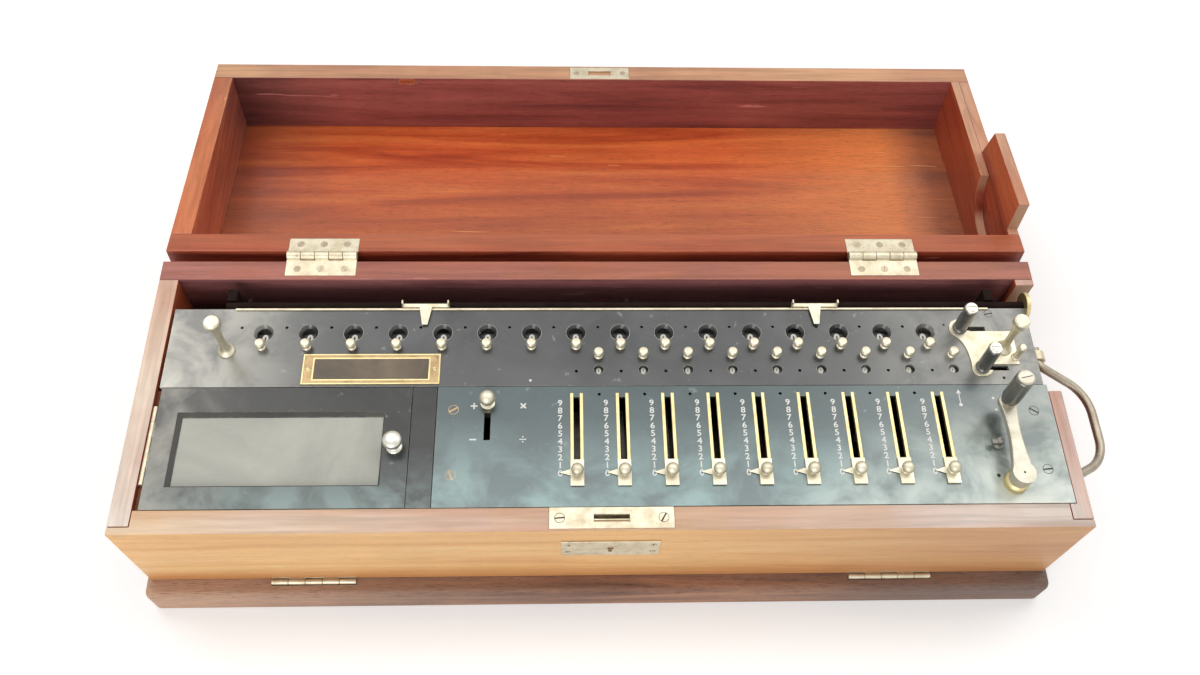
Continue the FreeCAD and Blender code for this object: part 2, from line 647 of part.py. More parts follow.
def setting_plate():
    plate = box(SET_L, SET_R, Y_SET, Y_SET + SETTING_D, UNDER, RIM)
    cuts = []
    for k in range(SETTING_COLUMNS):
        cuts += slot_opening(k)
    cuts += [post(column_x(k) + PITCH / 2, Y_SET_REAR - PEG_BACK, UNDER - 1, RIM + 1, PEG_R)
             for k in range(SETTING_COLUMNS - 1)]
    cuts.append(box(-REV_X - SLOT_W / 2, -REV_X + SLOT_W / 2, REV_Y - REV_L, REV_Y, UNDER - 1, RIM + 1))
    cuts.append(post(CRANK_X, CRANK_AXIS_Y, UNDER - 1, RIM + 1, CRANK_SHAFT_R + RUN))
    strip = box(TRAY_R, SET_L - PLATE_GAP, Y_SET, Y_SET + SETTING_D, UNDER, RIM)
    return [drilled(plate, cuts), strip]


LATCH_X = 6.0            # crank stop, left of the crank axis
LATCH_Y = 26.0
LATCH_R = 3.4
LATCH_H = 7.5
LATCH_L = 5.5
LATCH_BAR = (4.0, 6.5)   # its cross bar, above the plate


def plate_fittings():
    """Brass guide strips, crank collar, crank stop and the accessory lid's hinge."""
    pieces = []
    for k in range(SETTING_COLUMNS):
        for side in (-1, 1):
            a = column_x(k) + side * SLOT_W / 2
            b = column_x(k) + side * (SLOT_W / 2 + GUIDE_W)
            pieces.append(box(min(a, b), max(a, b), Y_SET + SLOT_FRONT, Y_SET_REAR - GUIDE_BACK,
                              RIM - GUIDE_T, RIM + GUIDE_PROUD))
    collar = turned(CRANK_X, CRANK_AXIS_Y, RIM, shaped(COLLAR_R, COLLAR_H, [(1, 0), (1, 0.67), (0.82, 1)]))
    pieces.append(collar.cut(post(CRANK_X, CRANK_AXIS_Y, RIM - 1, RIM + 2 * COLLAR_H, CRANK_SHAFT_R + RUN)))
    x = CRANK_X - LATCH_X
    y = CRANK_AXIS_Y + LATCH_Y
    stop = fused([turned(x, y, RIM, shaped(LATCH_R, LATCH_H, [(1, 0), (1, 0.19), (0.65, 0.27), (0.65, 1)])),
                  box(x - LATCH_L, x + LATCH_R / 2, y - LATCH_R * 0.6, y + LATCH_R * 0.35,
                      RIM + LATCH_BAR[0], RIM + LATCH_BAR[1])])
    pieces.append(stop)
    pieces.append(tray_hinge())
    return pieces


# ---------------------------------------------------------------- sliders
def star(count, root, tip, turn):
    """Outline of a toothed wheel, (a, b) pairs: each tooth has a flat top and slanted flanks."""
    step = 2 * math.pi / count
    outline = []
    for i in range(count):
        middle = turn + i * step
        for radius, offset in ((root, -0.30), (tip, -0.16), (tip, 0.16), (root, 0.30)):
            angle = middle + offset * step
            outline.append((radius * math.cos(angle), radius * math.sin(angle)))
    return outline


SHANK_W = SLOT_W - 2 * 0.1
SHANK_L = 8.0
NECK_R = 2.6
NECK_H = 3.0
BALL_Z = 6.4             # knob's middle above the plate
BLOCK_W = 12.0
BLOCK_L = 10.0
FORK_T = 1.5
FORK_GAP = 0.4
PINION_TEETH = 10


def slider(k):
    """Pointer plate and knob above, shank through the slot, fork and stepping pinion below."""
    x = column_x(k)
    top = RIM + GUIDE_PROUD + NEAR
    y0 = ZERO - SLIDER_FRONT
    plate = box(x - SLIDER_W / 2, x + SLIDER_W / 2, y0, y0 + SLIDER_L, top, top + SLIDER_T)
    edge = x - SLIDER_W / 2
    inner_edge = edge + NEAR
    front = ZERO + POINTER_LEAN - POINTER_W / 2
    rear = front + POINTER_W
    tip = [(inner_edge, front), (edge, front), (edge - POINTER_L, ZERO + POINTER_LEAN), (edge, rear),
           (inner_edge, rear)]
    pointer = prism([Vector(px, py, top) for px, py in tip], Vector(0, 0, SLIDER_T * 0.7))
    neck = turned(x, ZERO, top + SLIDER_T - 0.2, shaped(NECK_R, NECK_H, [(1, 0), (0.77, 0.4), (0.77, 1)]))
    ball = Part.makeSphere(KNOB_R, Vector(x, ZERO, RIM + BALL_Z))
    shank = box(x - SHANK_W / 2, x + SHANK_W / 2, ZERO - SHANK_L / 2, ZERO + SHANK_L / 2,
                RIM - GUIDE_T - 1, top)
    block_top = RIM - GUIDE_T - NEAR
    fork_bottom = SQUARE_Z - SQUARE / 2 - FORK_T
    inner = PINION_T / 2 + FORK_GAP / 2
    block = box(x - BLOCK_W / 2, x + BLOCK_W / 2, ZERO - BLOCK_L / 2, ZERO + BLOCK_L / 2,
                SQUARE_Z + PINION_TIP_R + FORK_GAP, block_top)
    pieces = [plate, pointer, neck, ball, shank, block]
    for side in (-1, 1):
        a = ZERO + side * inner
        b = ZERO + side * (inner + FORK_T)
        pieces.append(box(x - BLOCK_W / 2, x + BLOCK_W / 2, min(a, b), max(a, b), fork_bottom, block_top - 1))
    gap = SQUARE / 2 + FORK_GAP
    body = fused(pieces).cut(box(x - gap, x + gap, ZERO - BLOCK_L, ZERO + BLOCK_L,
                                 fork_bottom - 1, SQUARE_Z + gap))
    wheel = star(PINION_TEETH, PINION_ROOT_R, PINION_TIP_R, math.pi / PINION_TEETH)
    pinion = prism([Vector(x + a, ZERO - PINION_T / 2, SQUARE_Z + b) for a, b in wheel],
                   Vector(0, PINION_T, 0))
    bore = SQUARE / 2 + RUN
    pinion = pinion.cut(box(x - bore, x + bore, ZERO - BLOCK_L, ZERO + BLOCK_L,
                            SQUARE_Z - bore, SQUARE_Z + bore))
    return [body, pinion]


# ---------------------------------------------------------------- mechanism under the plates
BAR_T = 6.0
MID_BAR_T = 3.6
MID_BAR_BACK = 0.2       # behind it, the setting plate's rear edge
SUPPORT_T = 2.0
BEVEL_SPACE = 1.5        # bevel wheels to their support
REAR_BAR_BACK = 6.0
FRAME_END_T = 3.0
FRAME_L = SET_L + 1.0
FRAME_IN = 5.0           # frame to the right wall
FRAME_STEP = 4.0         # rear end plates are this much lower
FRAME_R = XR - FRAME_IN
FRONT_BAR_Y = Y_SET + 1.0
MID_BAR_Y = Y_SET_REAR - MID_BAR_BACK - MID_BAR_T
REAR_BAR_Y = ROD_Y + REAR_BAR_BACK
SUPPORT_Y = CRANK_AXIS_Y + BEVEL_R + BEVEL_SPACE
CRADLE_T = 6.0
CRADLE_X = (-252.0, 263.0)
SUPPORT_H = 9.0          # over the drum shafts
HOLE_SHARE = 0.72        # clearance hole for a square shaft, share of its width


def shaft_holes(y0, y1, with_drums):
    holes = []
    for k in range(SETTING_COLUMNS):
        holes.append(rod_y(column_x(k), y0 - 1, y1 + 1, SQUARE_Z, SQUARE * HOLE_SHARE))
        if with_drums:
            holes.append(rod_y(column_x(k), y0 - 1, y1 + 1, DRUM_AXIS_Z, DRUM_SHAFT_R + RUN))
    return holes


def mechanism_frame():
    front = box(FRAME_L, FRAME_R, FRONT_BAR_Y, FRONT_BAR_Y + BAR_T, Z_BASE, UNDER)
    front = drilled(front, shaft_holes(FRONT_BAR_Y, FRONT_BAR_Y + BAR_T, False))
    mid = box(FRAME_L, FRAME_R, MID_BAR_Y, MID_BAR_Y + MID_BAR_T, Z_BASE, UNDER)
    mid = drilled(mid, shaft_holes(MID_BAR_Y, MID_BAR_Y + MID_BAR_T, True))
    rear = box(XL + NEAR, FRAME_R, REAR_BAR_Y, REAR_BAR_Y + BAR_T, Z_BASE, MECH_TOP)
    rear = drilled(rear, shaft_holes(REAR_BAR_Y, REAR_BAR_Y + BAR_T, True))
    support = box(FRAME_L + FRAME_END_T, CRANK_X - 2 * HUB_R, SUPPORT_Y, SUPPORT_Y + SUPPORT_T, Z_BASE,
                  DRUM_AXIS_Z + SUPPORT_H)
    support = drilled(support, [rod_y(column_x(k), SUPPORT_Y - 1, SUPPORT_Y + SUPPORT_T + 1, DRUM_AXIS_Z,
                                      DRUM_SHAFT_R + RUN) for k in range(SETTING_COLUMNS)])
    ends = []
    for x in (FRAME_L, FRAME_R - FRAME_END_T):
        ends.append(box(x, x + FRAME_END_T, FRONT_BAR_Y + BAR_T, MID_BAR_Y, Z_BASE, MECH_TOP))
        ends.append(box(x, x + FRAME_END_T, MID_BAR_Y + MID_BAR_T, REAR_BAR_Y, Z_BASE, MECH_TOP - FRAME_STEP))
    cradles = []
    for x in CRADLE_X:
        block = box(x, x + CRADLE_T, ROD_Y - ROD_R + 2 * RUN, REAR_BAR_Y + BAR_T, MECH_TOP, ROD_Z)
        hook = box(x, x + CRADLE_T, ROD_Y + ROD_R + NEAR, REAR_BAR_Y + BAR_T, ROD_Z, RIM - NEAR)
        block = fused([block, hook]).cut(rod_x(x - 1, x + CRADLE_T + 1, ROD_Y, ROD_Z, ROD_R + RUN))
        cradles.append(block)
    return [front, mid, rear, support] + ends + cradles


def bevel(place, direction, teeth):
    """Bevel wheel whose small end faces along direction; place is where its pitch cone would end."""
    u = Vector(0, 0, 1) if abs(direction.z) < 0.5 else Vector(1, 0, 0)
    v = direction.cross(u)
    wires = []
    far = BEVEL_R + BEVEL_BACK
    for back, scale in ((far, 1.0), (far - BEVEL_T, 1 - BEVEL_T / far)):
        ring = star(teeth, (BEVEL_R - BEVEL_TOOTH) * scale, BEVEL_R * scale, 0)
        points = [place - direction * back + u * a + v * b for a, b in ring]
        wires.append(Part.makePolygon(points + [points[0]]))
    return Part.makeLoft(wires, True, True)


CROWN_R = 7.6
CROWN_T = 3.0
CROWN_IN = 6.5           # crown wheel's inner face to the dial's axis
CROWN_TEETH = 12
CROWN_TOOTH = 1.6
SLEEVE_L = 25.0
BEVEL_TEETH = 10
BEVEL_BACK = 0.6
BEVEL_TOOTH = 1.2
DRUM_STEPS = 20          # teeth that would go round a full drum
DRUM_TOOTH_W = 2.2


def stepped_drum(k):
    """Drum with nine teeth of stepped length, its shaft and its bevel wheel."""
    x = column_x(k)
    y0 = ZERO + DIGIT / 2
    y1 = ZERO + (DIGITS + 0.5) * DIGIT
    cross = Vector(x, CRANK_AXIS_Y, DRUM_AXIS_Z)
    pieces = [rod_y(x, y0, y1, DRUM_AXIS_Z, DRUM_ROOT_R),
              rod_y(x, CRANK_AXIS_Y + BEVEL_R, REAR_BAR_Y + BAR_T, DRUM_AXIS_Z, DRUM_SHAFT_R)]
    step = 360.0 / DRUM_STEPS
    for i in range(DIGITS):
        start = ZERO + (i + 0.5) * DIGIT
        tooth = box(x - DRUM_TOOTH_W / 2, x + DRUM_TOOTH_W / 2, start, y1, DRUM_AXIS_Z - DRUM_TIP_R,
                    DRUM_AXIS_Z - DRUM_ROOT_R + 1)
        tooth.rotate(Vector(x, 0, DRUM_AXIS_Z), Vector(0, 1, 0), (i - (DIGITS - 1) / 2) * step)
        pieces.append(tooth)
    pieces.append(bevel(cross, Vector(0, -1, 0), BEVEL_TEETH))
    return fused(pieces)


def setting_shaft(k):
    """Square shaft with the pair of reversing wheels under the carriage."""
    x = column_x(k)
    half = SQUARE / 2
    pieces = [box(x - half, x + half, FRONT_BAR_Y, REAR_BAR_Y + BAR_T, SQUARE_Z - half, SQUARE_Z + half)]
    dial_y = Y_CAR + RESULT_Y
    for side in (-1, 1):
        a = dial_y + side * CROWN_IN
        b = dial_y + side * (CROWN_IN + CROWN_T)
        ring = star(CROWN_TEETH, CROWN_R - CROWN_TOOTH, CROWN_R, 0)
        pieces.append(prism([Vector(x + p, min(a, b), SQUARE_Z + q) for p, q in ring], Vector(0, CROWN_T, 0)))
    pieces.append(rod_y(x, dial_y - SLEEVE_L / 2, dial_y + SLEEVE_L / 2, SQUARE_Z, SQUARE * 0.8))
    return fused(pieces)


def stepped_drums():
    pieces = [stepped_drum(k) for k in range(SETTING_COLUMNS)]
    pieces += [setting_shaft(k) for k in range(SETTING_COLUMNS)]
    main = [rod_x(FRAME_L + FRAME_END_T + 1, CRANK_X - BEVEL_R, CRANK_AXIS_Y, DRUM_AXIS_Z, MAIN_R)]
    for k in range(SETTING_COLUMNS):
        cross = Vector(column_x(k), CRANK_AXIS_Y, DRUM_AXIS_Z)
        main.append(bevel(cross, Vector(1, 0, 0), BEVEL_TEETH))
    main.append(bevel(Vector(CRANK_X, CRANK_AXIS_Y, DRUM_AXIS_Z), Vector(1, 0, 0), BEVEL_TEETH))
    pieces.append(fused(main))
    return pieces


# ---------------------------------------------------------------- crank and reversing lever
REV_TRAVEL = 22.5
REV_BLOCK = (12.0, 10.0, 8.0)
SPINDLE_R = 2.6
CAP_R = 5.2
CAP_T = 1.3
HUB_R = 7.2
ARM_END_R = 5.6
ARM_WAIST = 2.6          # how far the arm's sides curve in
ARM_EDGE_R = 0.8
BOSS_R = 4.6
BOSS_H = 1.6
GRIP_SHAPE = [(0.83, 0), (0.9, 0.035), (0.83, 0.075), (0.83, 0.105), (1, 0.145), (1, 0.96), (0.85, 1)]


def crank():
    x = CRANK_X
    y = CRANK_AXIS_Y
    z = RIM + ARM_Z
    cross = Vector(x, y, DRUM_AXIS_Z)
    shaft = post(x, y, DRUM_AXIS_Z + BEVEL_R, z, CRANK_SHAFT_R)
    hub = turned(x, y, RIM + COLLAR_H + NEAR,
                 shaped(HUB_R, ARM_Z + ARM_T - COLLAR_H, [(0.89, 0), (1, 0.55), (1, 1)]))
    end_y = y + CRANK_R
    left = [Vector(x - HUB_R, y, z), Vector(x - ARM_END_R, end_y, z)]
    right = [Vector(x + ARM_END_R, end_y, z), Vector(x + HUB_R, y, z)]
    outline = Part.Wire([
        arc_between(left[0], left[1], -ARM_WAIST),
        Part.Arc(left[1], Vector(x, end_y + ARM_END_R, z), right[0]).toShape(),
        arc_between(right[0], right[1], -ARM_WAIST),
        Part.Arc(right[1], Vector(x, y - HUB_R, z), left[0]).toShape(),
    ])
    arm = Part.Face(outline).extrude(Vector(0, 0, ARM_T))
    arm = arm.makeFillet(ARM_EDGE_R, [e for e in arm.Edges if e.BoundBox.ZMin > z + ARM_T - 0.1])
    boss = post(x, end_y, z + ARM_T / 2, z + ARM_T + BOSS_H, BOSS_R)
    grip_z = z + ARM_T + BOSS_H + NEAR
    spindle = post(x, end_y, z, grip_z + GRIP_H + NEAR, SPINDLE_R)
    cap = turned(x, end_y, grip_z + GRIP_H + NEAR, shaped(CAP_R, CAP_T, [(1, 0), (1, 0.5), (0.81, 1)]))
    gear = bevel(cross, Vector(0, 0, -1), BEVEL_TEETH)
    return [fused([shaft, hub, arm, boss, spindle, cap, gear])]


def crank_grip():
    x = CRANK_X
    y = CRANK_AXIS_Y + CRANK_R
    z = RIM + ARM_Z + ARM_T + BOSS_H + NEAR
    body = turned(x, y, z, shaped(GRIP_R, GRIP_H, GRIP_SHAPE))
    return [body.cut(post(x, y, z - 1, z + GRIP_H + 1, SPINDLE_R + RUN))]


def reversing_lever():
    x = -REV_X
    y = REV_Y - (REV_L - REV_TRAVEL) / 2
    half = SHANK_W / 2
    shank = box(x - half, x + half, y - half, y + half, UNDER - REV_BLOCK[2] / 2, RIM + 1)
    flange = turned(x, y, RIM + NEAR,
                    shaped(REV_FOOT_R, REV_NECK_H, [(1, 0), (1, 0.18), (0.52, 0.4), (0.46, 1)]))
    ball = Part.makeSphere(REV_BALL_R, Vector(x, y, RIM + REV_BALL_Z))
    foot = box(x - REV_BLOCK[0] / 2, x + REV_BLOCK[0] / 2, y - REV_BLOCK[1] / 2, y + REV_BLOCK[1] / 2,
               UNDER - REV_BLOCK[2], UNDER - NEAR)
    return [fused([shank, flange, ball, foot])]


# ---------------------------------------------------------------- carriage
CLEAR_A_X = 46.5         # clearing levers' rest places, from the right inside wall
CLEAR_B_X = 36.5
CLEAR_A_Y = 42.2
CLEAR_B_Y = 12.2
CLEAR_TRAVEL = 16.0
CLEAR_SLOT_W = 3.6
CLEAR_SHANK_R = 1.6
RACK_Z = 10.5            # racks' underside, under the rim
RACK_T = 2.0
PINION_SMALL_R = 4.4
NICKEL_T = 1.2
PEG_ROW_Y = 44.3         # peg holes between the result windows, from the carriage's front edge
PEG_FRONT_Y = 10.9       # and before the counter windows
LOWER_FRONT = 3.4        # lower plate behind the carriage's front edge
LOWER_BACK = 1.0
EAR_X = (-238.0, 15.0)   # lugs under the plate's rear edge
LUG_R = 5.6
LUG_DROP = 4.0
LUG_TRIM = 0.2           # below the plate's top
END_EAR_DROP = 7.0
EAR_REACH = 8.0          # under the plate


def clear_slot(x, y, z0, z1):
    half = CLEAR_SLOT_W / 2
    return box(x - half, x + CLEAR_TRAVEL + half, y - half, y + half, z0, z1)


def clear_places():
    return ((XR - CLEAR_A_X, Y_CAR + CLEAR_A_Y), (XR - CLEAR_B_X, Y_CAR + CLEAR_B_Y))


def carriage_plate():
    plate = box(CAR_L, CAR_R, Y_CAR, Y_CAR_REAR, UNDER, RIM)
    cuts = []
    for i in range(RESULT_DIALS):
        x = result_x(i)
        cuts.append(Part.makeCone(WINDOW_HOLE_R, WINDOW_R, PLATE_T, Vector(x, Y_CAR + RESULT_WINDOW_Y, UNDER)))
        cuts.append(post(x, Y_CAR + RESULT_Y, UNDER - 1, RIM + 1, DIAL_SHAFT_R + RUN))
        cuts.append(post(x - PITCH / 2, Y_CAR + PEG_ROW_Y, UNDER - 1, RIM + 1, PEG_R))
    for k in range(COUNTER_DIALS):
        x = counter_x(k)
        cuts.append(post(x, Y_CAR + COUNTER_WINDOW_Y, UNDER - 1, RIM + 1, COUNTER_WINDOW_R))
        cuts.append(post(x, Y_CAR + COUNTER_Y, UNDER - 1, RIM + 1, DIAL_SHAFT_R + RUN))
        cuts.append(post(column_x(k), Y_CAR + PEG_FRONT_Y, UNDER - 1, RIM + 1, PEG_R))
    cuts += [clear_slot(x, y, UNDER - 1, RIM + 1) for x, y in clear_places()]
    lower_z = RIM - LOWER_PLATE_Z
    front = Y_CAR + LOWER_FRONT
    rear = Y_CAR_REAR - LOWER_BACK
    lower = box(CAR_L + EAR_T, CAR_R - EAR_T, front, rear, lower_z - LOWER_PLATE_T, lower_z)
    holes = [post(result_x(i), Y_CAR + RESULT_Y, 0, RIM, DIAL_SHAFT_R + RUN) for i in range(RESULT_DIALS)]
    holes += [post(counter_x(k), Y_CAR + COUNTER_Y, 0, RIM, DIAL_SHAFT_R + RUN) for k in range(COUNTER_DIALS)]
    pieces = [drilled(plate, cuts), drilled(lower, holes)]
    for x in (CAR_L, CAR_R - EAR_T):
        pieces.append(box(x, x + EAR_T, front, rear, lower_z - LOWER_PLATE_T, UNDER))
    return pieces + [lug(x) for x in EAR_X] + [ear(CAR_R, EAR_R, END_EAR_DROP)]


def ear(x, radius, drop):
    """Bearing of the carriage on its rod, with an arm under the plate."""
    disc = rod_x(x, x + EAR_T, ROD_Y, ROD_Z, radius)
    arm = box(x, x + EAR_T, Y_CAR_REAR - EAR_REACH, ROD_Y, ROD_Z - drop, UNDER)
    return fused([disc, arm]).cut(rod_x(x - 1, x + EAR_T + 1, ROD_Y, ROD_Z, ROD_R + RUN))


def lug(x):
    """Inner bearing, trimmed to stay behind the plate's edge and below its top."""
    y0 = Y_CAR_REAR - EAR_REACH
    top = box(x - 1, x + EAR_T + 1, y0, ROD_Y + LUG_R, RIM - LUG_TRIM, RIM + LUG_R)
    step = box(x - 1, x + EAR_T + 1, y0, Y_CAR_REAR + RUN, UNDER, RIM + LUG_R)
    return drilled(ear(x, LUG_R, LUG_DROP), [top, step])


def carriage_rod():
    return [rod_x(CRADLE_X[0] - LUG_TRIM, CAR_R + EAR_T - LUG_TRIM, ROD_Y, ROD_Z, ROD_R)]


LIFT_KNOB_Y = 26.5
LIFT_LEFT = 40.6         # from the left inside wall
LIFT_RIGHT = 19.9
LIFT_H = 38.0
LIFT_R = 5.6
LIFT_SHAPE = [(1, 0), (1, 0.04), (0.57, 0.09), (0.43, 0.21), (0.41, 0.5), (0.54, 0.71), (0.86, 0.84),
              (0.95, 0.895), (0.95, 0.97), (0.75, 1)]
NAME_L = 91.0            # name plate's left end, from the left inside wall
NAME_W = 89.0
NAME_FRONT = 1.5
NAME_H = 22.2
NAME_T = 0.9
RAIL_L = 42.0
RAIL_R = 24.0
RAIL_W = 1.4
RAIL_H = 1.2
POST_X = 13.0            # small post, from the right inside wall
POST_Y = 19.5
POST_R = 3.0
POST_H = 14.6
POST_SHAPE = [(1, 0), (1, 0.07), (0.67, 0.12), (0.67, 0.685), (0.93, 0.75), (0.93, 0.93), (0.6, 1)]
FIELD_IN = 6.4           # name plate's sunk field, from its ends
FIELD_EDGE = 2.6
FIELD_DROP = 0.3
COVER_RIGHT = 11.0       # nickel cover's right end, from the right inside wall
COVER_EDGE = 0.5
COVER_R = 7.0            # cover's edge round a lever
COVER_TAB = 6.6          # lever to the step in its edge
COVER_REAR = [(0, 1), (-1, 0), (-0.571, -0.857)]    # edge round the rear lever, shares of COVER_R
COVER_FRONT = [(-1.171, 2), (-1, 0), (0, -0.914)]   # and round the front one
COVER_BULGES = (-0.343, -0.303, -0.143, 0.129, 0.086, -0.371, -0.429)


def lifting_knob(x, z):
    return turned(x, Y_CAR + LIFT_KNOB_Y, z, shaped(LIFT_R, RIM + LIFT_H - z, LIFT_SHAPE))


def nickel_plate():
    """Cover with an S-shaped left edge round the two clearing levers."""
    (ax, ay), (bx, by) = clear_places()
    z = RIM
    right = XR - COVER_RIGHT
    top = ay - CLEAR_SLOT_W / 2 - COVER_EDGE
    low = by + CLEAR_SLOT_W / 2 + COVER_EDGE
    p = [Vector(ax + COVER_TAB, top, z)]
    p += [Vector(ax + COVER_R * u, ay + COVER_R * v, z) for u, v in COVER_REAR]
    p += [Vector(bx + COVER_R * u, by + COVER_R * v, z) for u, v in COVER_FRONT]
    p += [Vector(bx + COVER_TAB, low, z), Vector(right, low, z), Vector(right, top, z)]
    edges = [arc_between(p[i], p[i + 1], COVER_R * bulge) for i, bulge in enumerate(COVER_BULGES)]
    edges += [Part.makeLine(p[7], p[8]), Part.makeLine(p[8], p[9]), Part.makeLine(p[9], p[0])]
    cover = Part.Face(Part.Wire(edges)).extrude(Vector(0, 0, NICKEL_T))
    return drilled(cover, [clear_slot(x, y, RIM - 1, RIM + 2 * NICKEL_T) for x, y in clear_places()])


def carriage_trim():
    x0 = XL + NAME_L
    y0 = Y_CAR + NAME_FRONT
    name = box(x0, x0 + NAME_W, y0, y0 + NAME_H, RIM, RIM + NAME_T)
    name = name.cut(box(x0 + FIELD_IN, x0 + NAME_W - FIELD_IN, y0 + FIELD_EDGE, y0 + NAME_H - FIELD_EDGE,
                        RIM + NAME_T - FIELD_DROP, RIM + 2 * NAME_T))
    rail = box(XL + RAIL_L, XR - RAIL_R, Y_CAR_REAR - RAIL_W, Y_CAR_REAR, RIM, RIM + RAIL_H)
    pin = turned(XR - POST_X, Y_CAR + POST_Y, RIM + NICKEL_T, shaped(POST_R, POST_H, POST_SHAPE))
    return [lifting_knob(XL + LIFT_LEFT, RIM), lifting_knob(XR - LIFT_RIGHT, RIM + NICKEL_T),
            name, rail, nickel_plate(), pin]


CLEAR_H = 27.0
CLEAR_R = 4.9
CLEAR_SHAPE = [(1, 0), (1, 0.045), (0.73, 0.09), (0.94, 0.185), (0.94, 0.92), (0.82, 0.955), (0.65, 1)]
RACK_END = 4.0           # rack beyond its handle
RACK_OVER = 6.0          # and beyond the first dial
RACK_SIDE = 2.5
RACK_GAP = 0.4           # to the dials' small wheels


def clearing_lever(x, y, rack_x0, rack_y0, rack_y1):
    """Black handle, shank through the carriage plate and the rack that turns the dials to zero."""
    z = RIM + NICKEL_T + NEAR
    rack_z = RIM - RACK_Z
    handle = turned(x, y, z, shaped(CLEAR_R, CLEAR_H, CLEAR_SHAPE))
    shank = post(x, y, rack_z, z + CLEAR_R / 4, CLEAR_SHANK_R)
    rack = box(rack_x0 - RACK_OVER, x + RACK_END, rack_y0, rack_y1, rack_z, rack_z + RACK_T)
    return [fused([handle, shank, rack])]


def clearing_lever_result():
    x, y = clear_places()[0]
    return clearing_lever(x, y, result_x(0), Y_CAR + RESULT_Y + PINION_SMALL_R + RACK_GAP, y + RACK_SIDE)


def clearing_lever_counter():
    x, y = clear_places()[1]
    return clearing_lever(x, y, counter_x(0), y - RACK_SIDE, Y_CAR + COUNTER_Y - PINION_SMALL_R - RACK_GAP)


DIAL_KNOB_R = 3.6
DIAL_KNOB_H = 7.2
DIAL_KNOB_SHAPE = [(0.81, 0), (0.81, 0.11), (0.53, 0.19), (0.53, 0.36), (0.92, 0.5), (1, 0.72), (0.72, 1)]
DIAL_KNOB_GAP = 0.2
SMALL_TEETH = 8
FOOT_TEETH = 10
TOOTH_H = 1.3
FOOT_T = 3.0
RESULT_FOOT_R = 5.6
COUNTER_FOOT_R = 4.4


def dial(x, y, disc_r, disc_top, foot_r):
    """Numeral disc on its spindle: setting knob above the plate, driven wheel below the carriage."""
    foot_z = RIM - LOWER_PLATE_Z - LOWER_PLATE_T - NEAR - FOOT_T
    shaft = post(x, y, RIM - CARRIAGE_LOW, RIM + DIAL_KNOB_H / 2, DIAL_SHAFT_R)
    disc = post(x, y, disc_top - DISC_T, disc_top, disc_r)
    knob = turned(x, y, RIM + DIAL_KNOB_GAP, shaped(DIAL_KNOB_R, DIAL_KNOB_H, DIAL_KNOB_SHAPE))
    small = star(SMALL_TEETH, PINION_SMALL_R - TOOTH_H, PINION_SMALL_R, 0)
    wheel = prism([Vector(x + a, y + b, RIM - RACK_Z) for a, b in small], Vector(0, 0, RACK_T))
    large = star(FOOT_TEETH, foot_r - TOOTH_H, foot_r, 0)
    foot = prism([Vector(x + a, y + b, foot_z) for a, b in large], Vector(0, 0, FOOT_T))
    return [fused([shaft, disc, knob, wheel, foot])]


def result_dial(i):
    return dial(result_x(i), Y_CAR + RESULT_Y, RESULT_DISC_R, UNDER - DISC_DROP - DISC_STEP, RESULT_FOOT_R)


def counter_dial(k):
    return dial(counter_x(k), Y_CAR + COUNTER_Y, COUNTER_DISC_R, UNDER - DISC_DROP, COUNTER_FOOT_R)


MARKER_X = (-118.8, 143.6)
MARKER_HALF = 15.2
MARKER_T = 0.9
MARKER_GAP = 0.2         # to the rail and the plate's edge
MARKER_D = 2.6
TONGUE_L = 13.4
TONGUE_W = 9.4
TONGUE_TIP = 3.6
HORN_W = 1.0
HORN_H = 7.0


def decimal_marker(x):
    """Clip that slides along the carriage's rear rail and points at a window."""
    z = RIM + RAIL_H + MARKER_GAP
    foot = RIM + 2 * MARKER_GAP
    y0 = Y_CAR_REAR + MARKER_GAP
    y1 = y0 + MARKER_D
    tip = Y_CAR_REAR - TONGUE_L
    bar = box(x - MARKER_HALF, x + MARKER_HALF, y0, y1, foot, z + MARKER_T)
    tongue = prism([Vector(x - TONGUE_W / 2, y1, z), Vector(x - TONGUE_TIP / 2, tip, z),
                    Vector(x + TONGUE_TIP / 2, tip, z), Vector(x + TONGUE_W / 2, y1, z)],
                   Vector(0, 0, MARKER_T))
    horns = [box(x + s * MARKER_HALF - HORN_W / 2, x + s * MARKER_HALF + HORN_W / 2, y0, y1, foot, RIM + HORN_H)
             for s in (-1, 1)]
    return [fused([bar, tongue] + horns)]


# ---------------------------------------------------------------- write every piece
os.makedirs("parts", exist_ok=True)
save("base_board", base_board())
save("case_walls", case_walls())
save("case_hardware", case_hardware())
save("front_flap", front_flap())
save("flap_hardware", flap_hardware())
save("lid_boards", lid_boards())
save("lid_hardware", lid_hardware())
save("right_bail", right_bail())
save("left_bail", left_bail())
save("accessory_tray", accessory_tray())
save("tray_lid", tray_lid())
save("slate_panel", slate_panel())
save("setting_plate", setting_plate())
save("plate_fittings", plate_fittings())
save("mechanism_frame", mechanism_frame())
save("stepped_drums", stepped_drums())
save("crank", crank())
save("crank_grip", crank_grip())
save("reversing_lever", reversing_lever())
save("carriage_rod", carriage_rod())
save("carriage_plate", carriage_plate())
save("carriage_trim", carriage_trim())
save("clearing_lever_result", clearing_lever_result())
save("clearing_lever_counter", clearing_lever_counter())
save("decimal_marker_left", decimal_marker(MARKER_X[0]))
save("decimal_marker_right", decimal_marker(MARKER_X[1]))
for k in range(SETTING_COLUMNS):
    save("slider_%d" % (k + 1), slider(k))
for i in range(RESULT_DIALS):
    save("result_dial_%02d" % (i + 1), result_dial(i))
for k in range(COUNTER_DIALS):
    save("counter_dial_%d" % (k + 1), counter_dial(k))
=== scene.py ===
import math
import bmesh
import bpy
from mathutils import Matrix, Vector


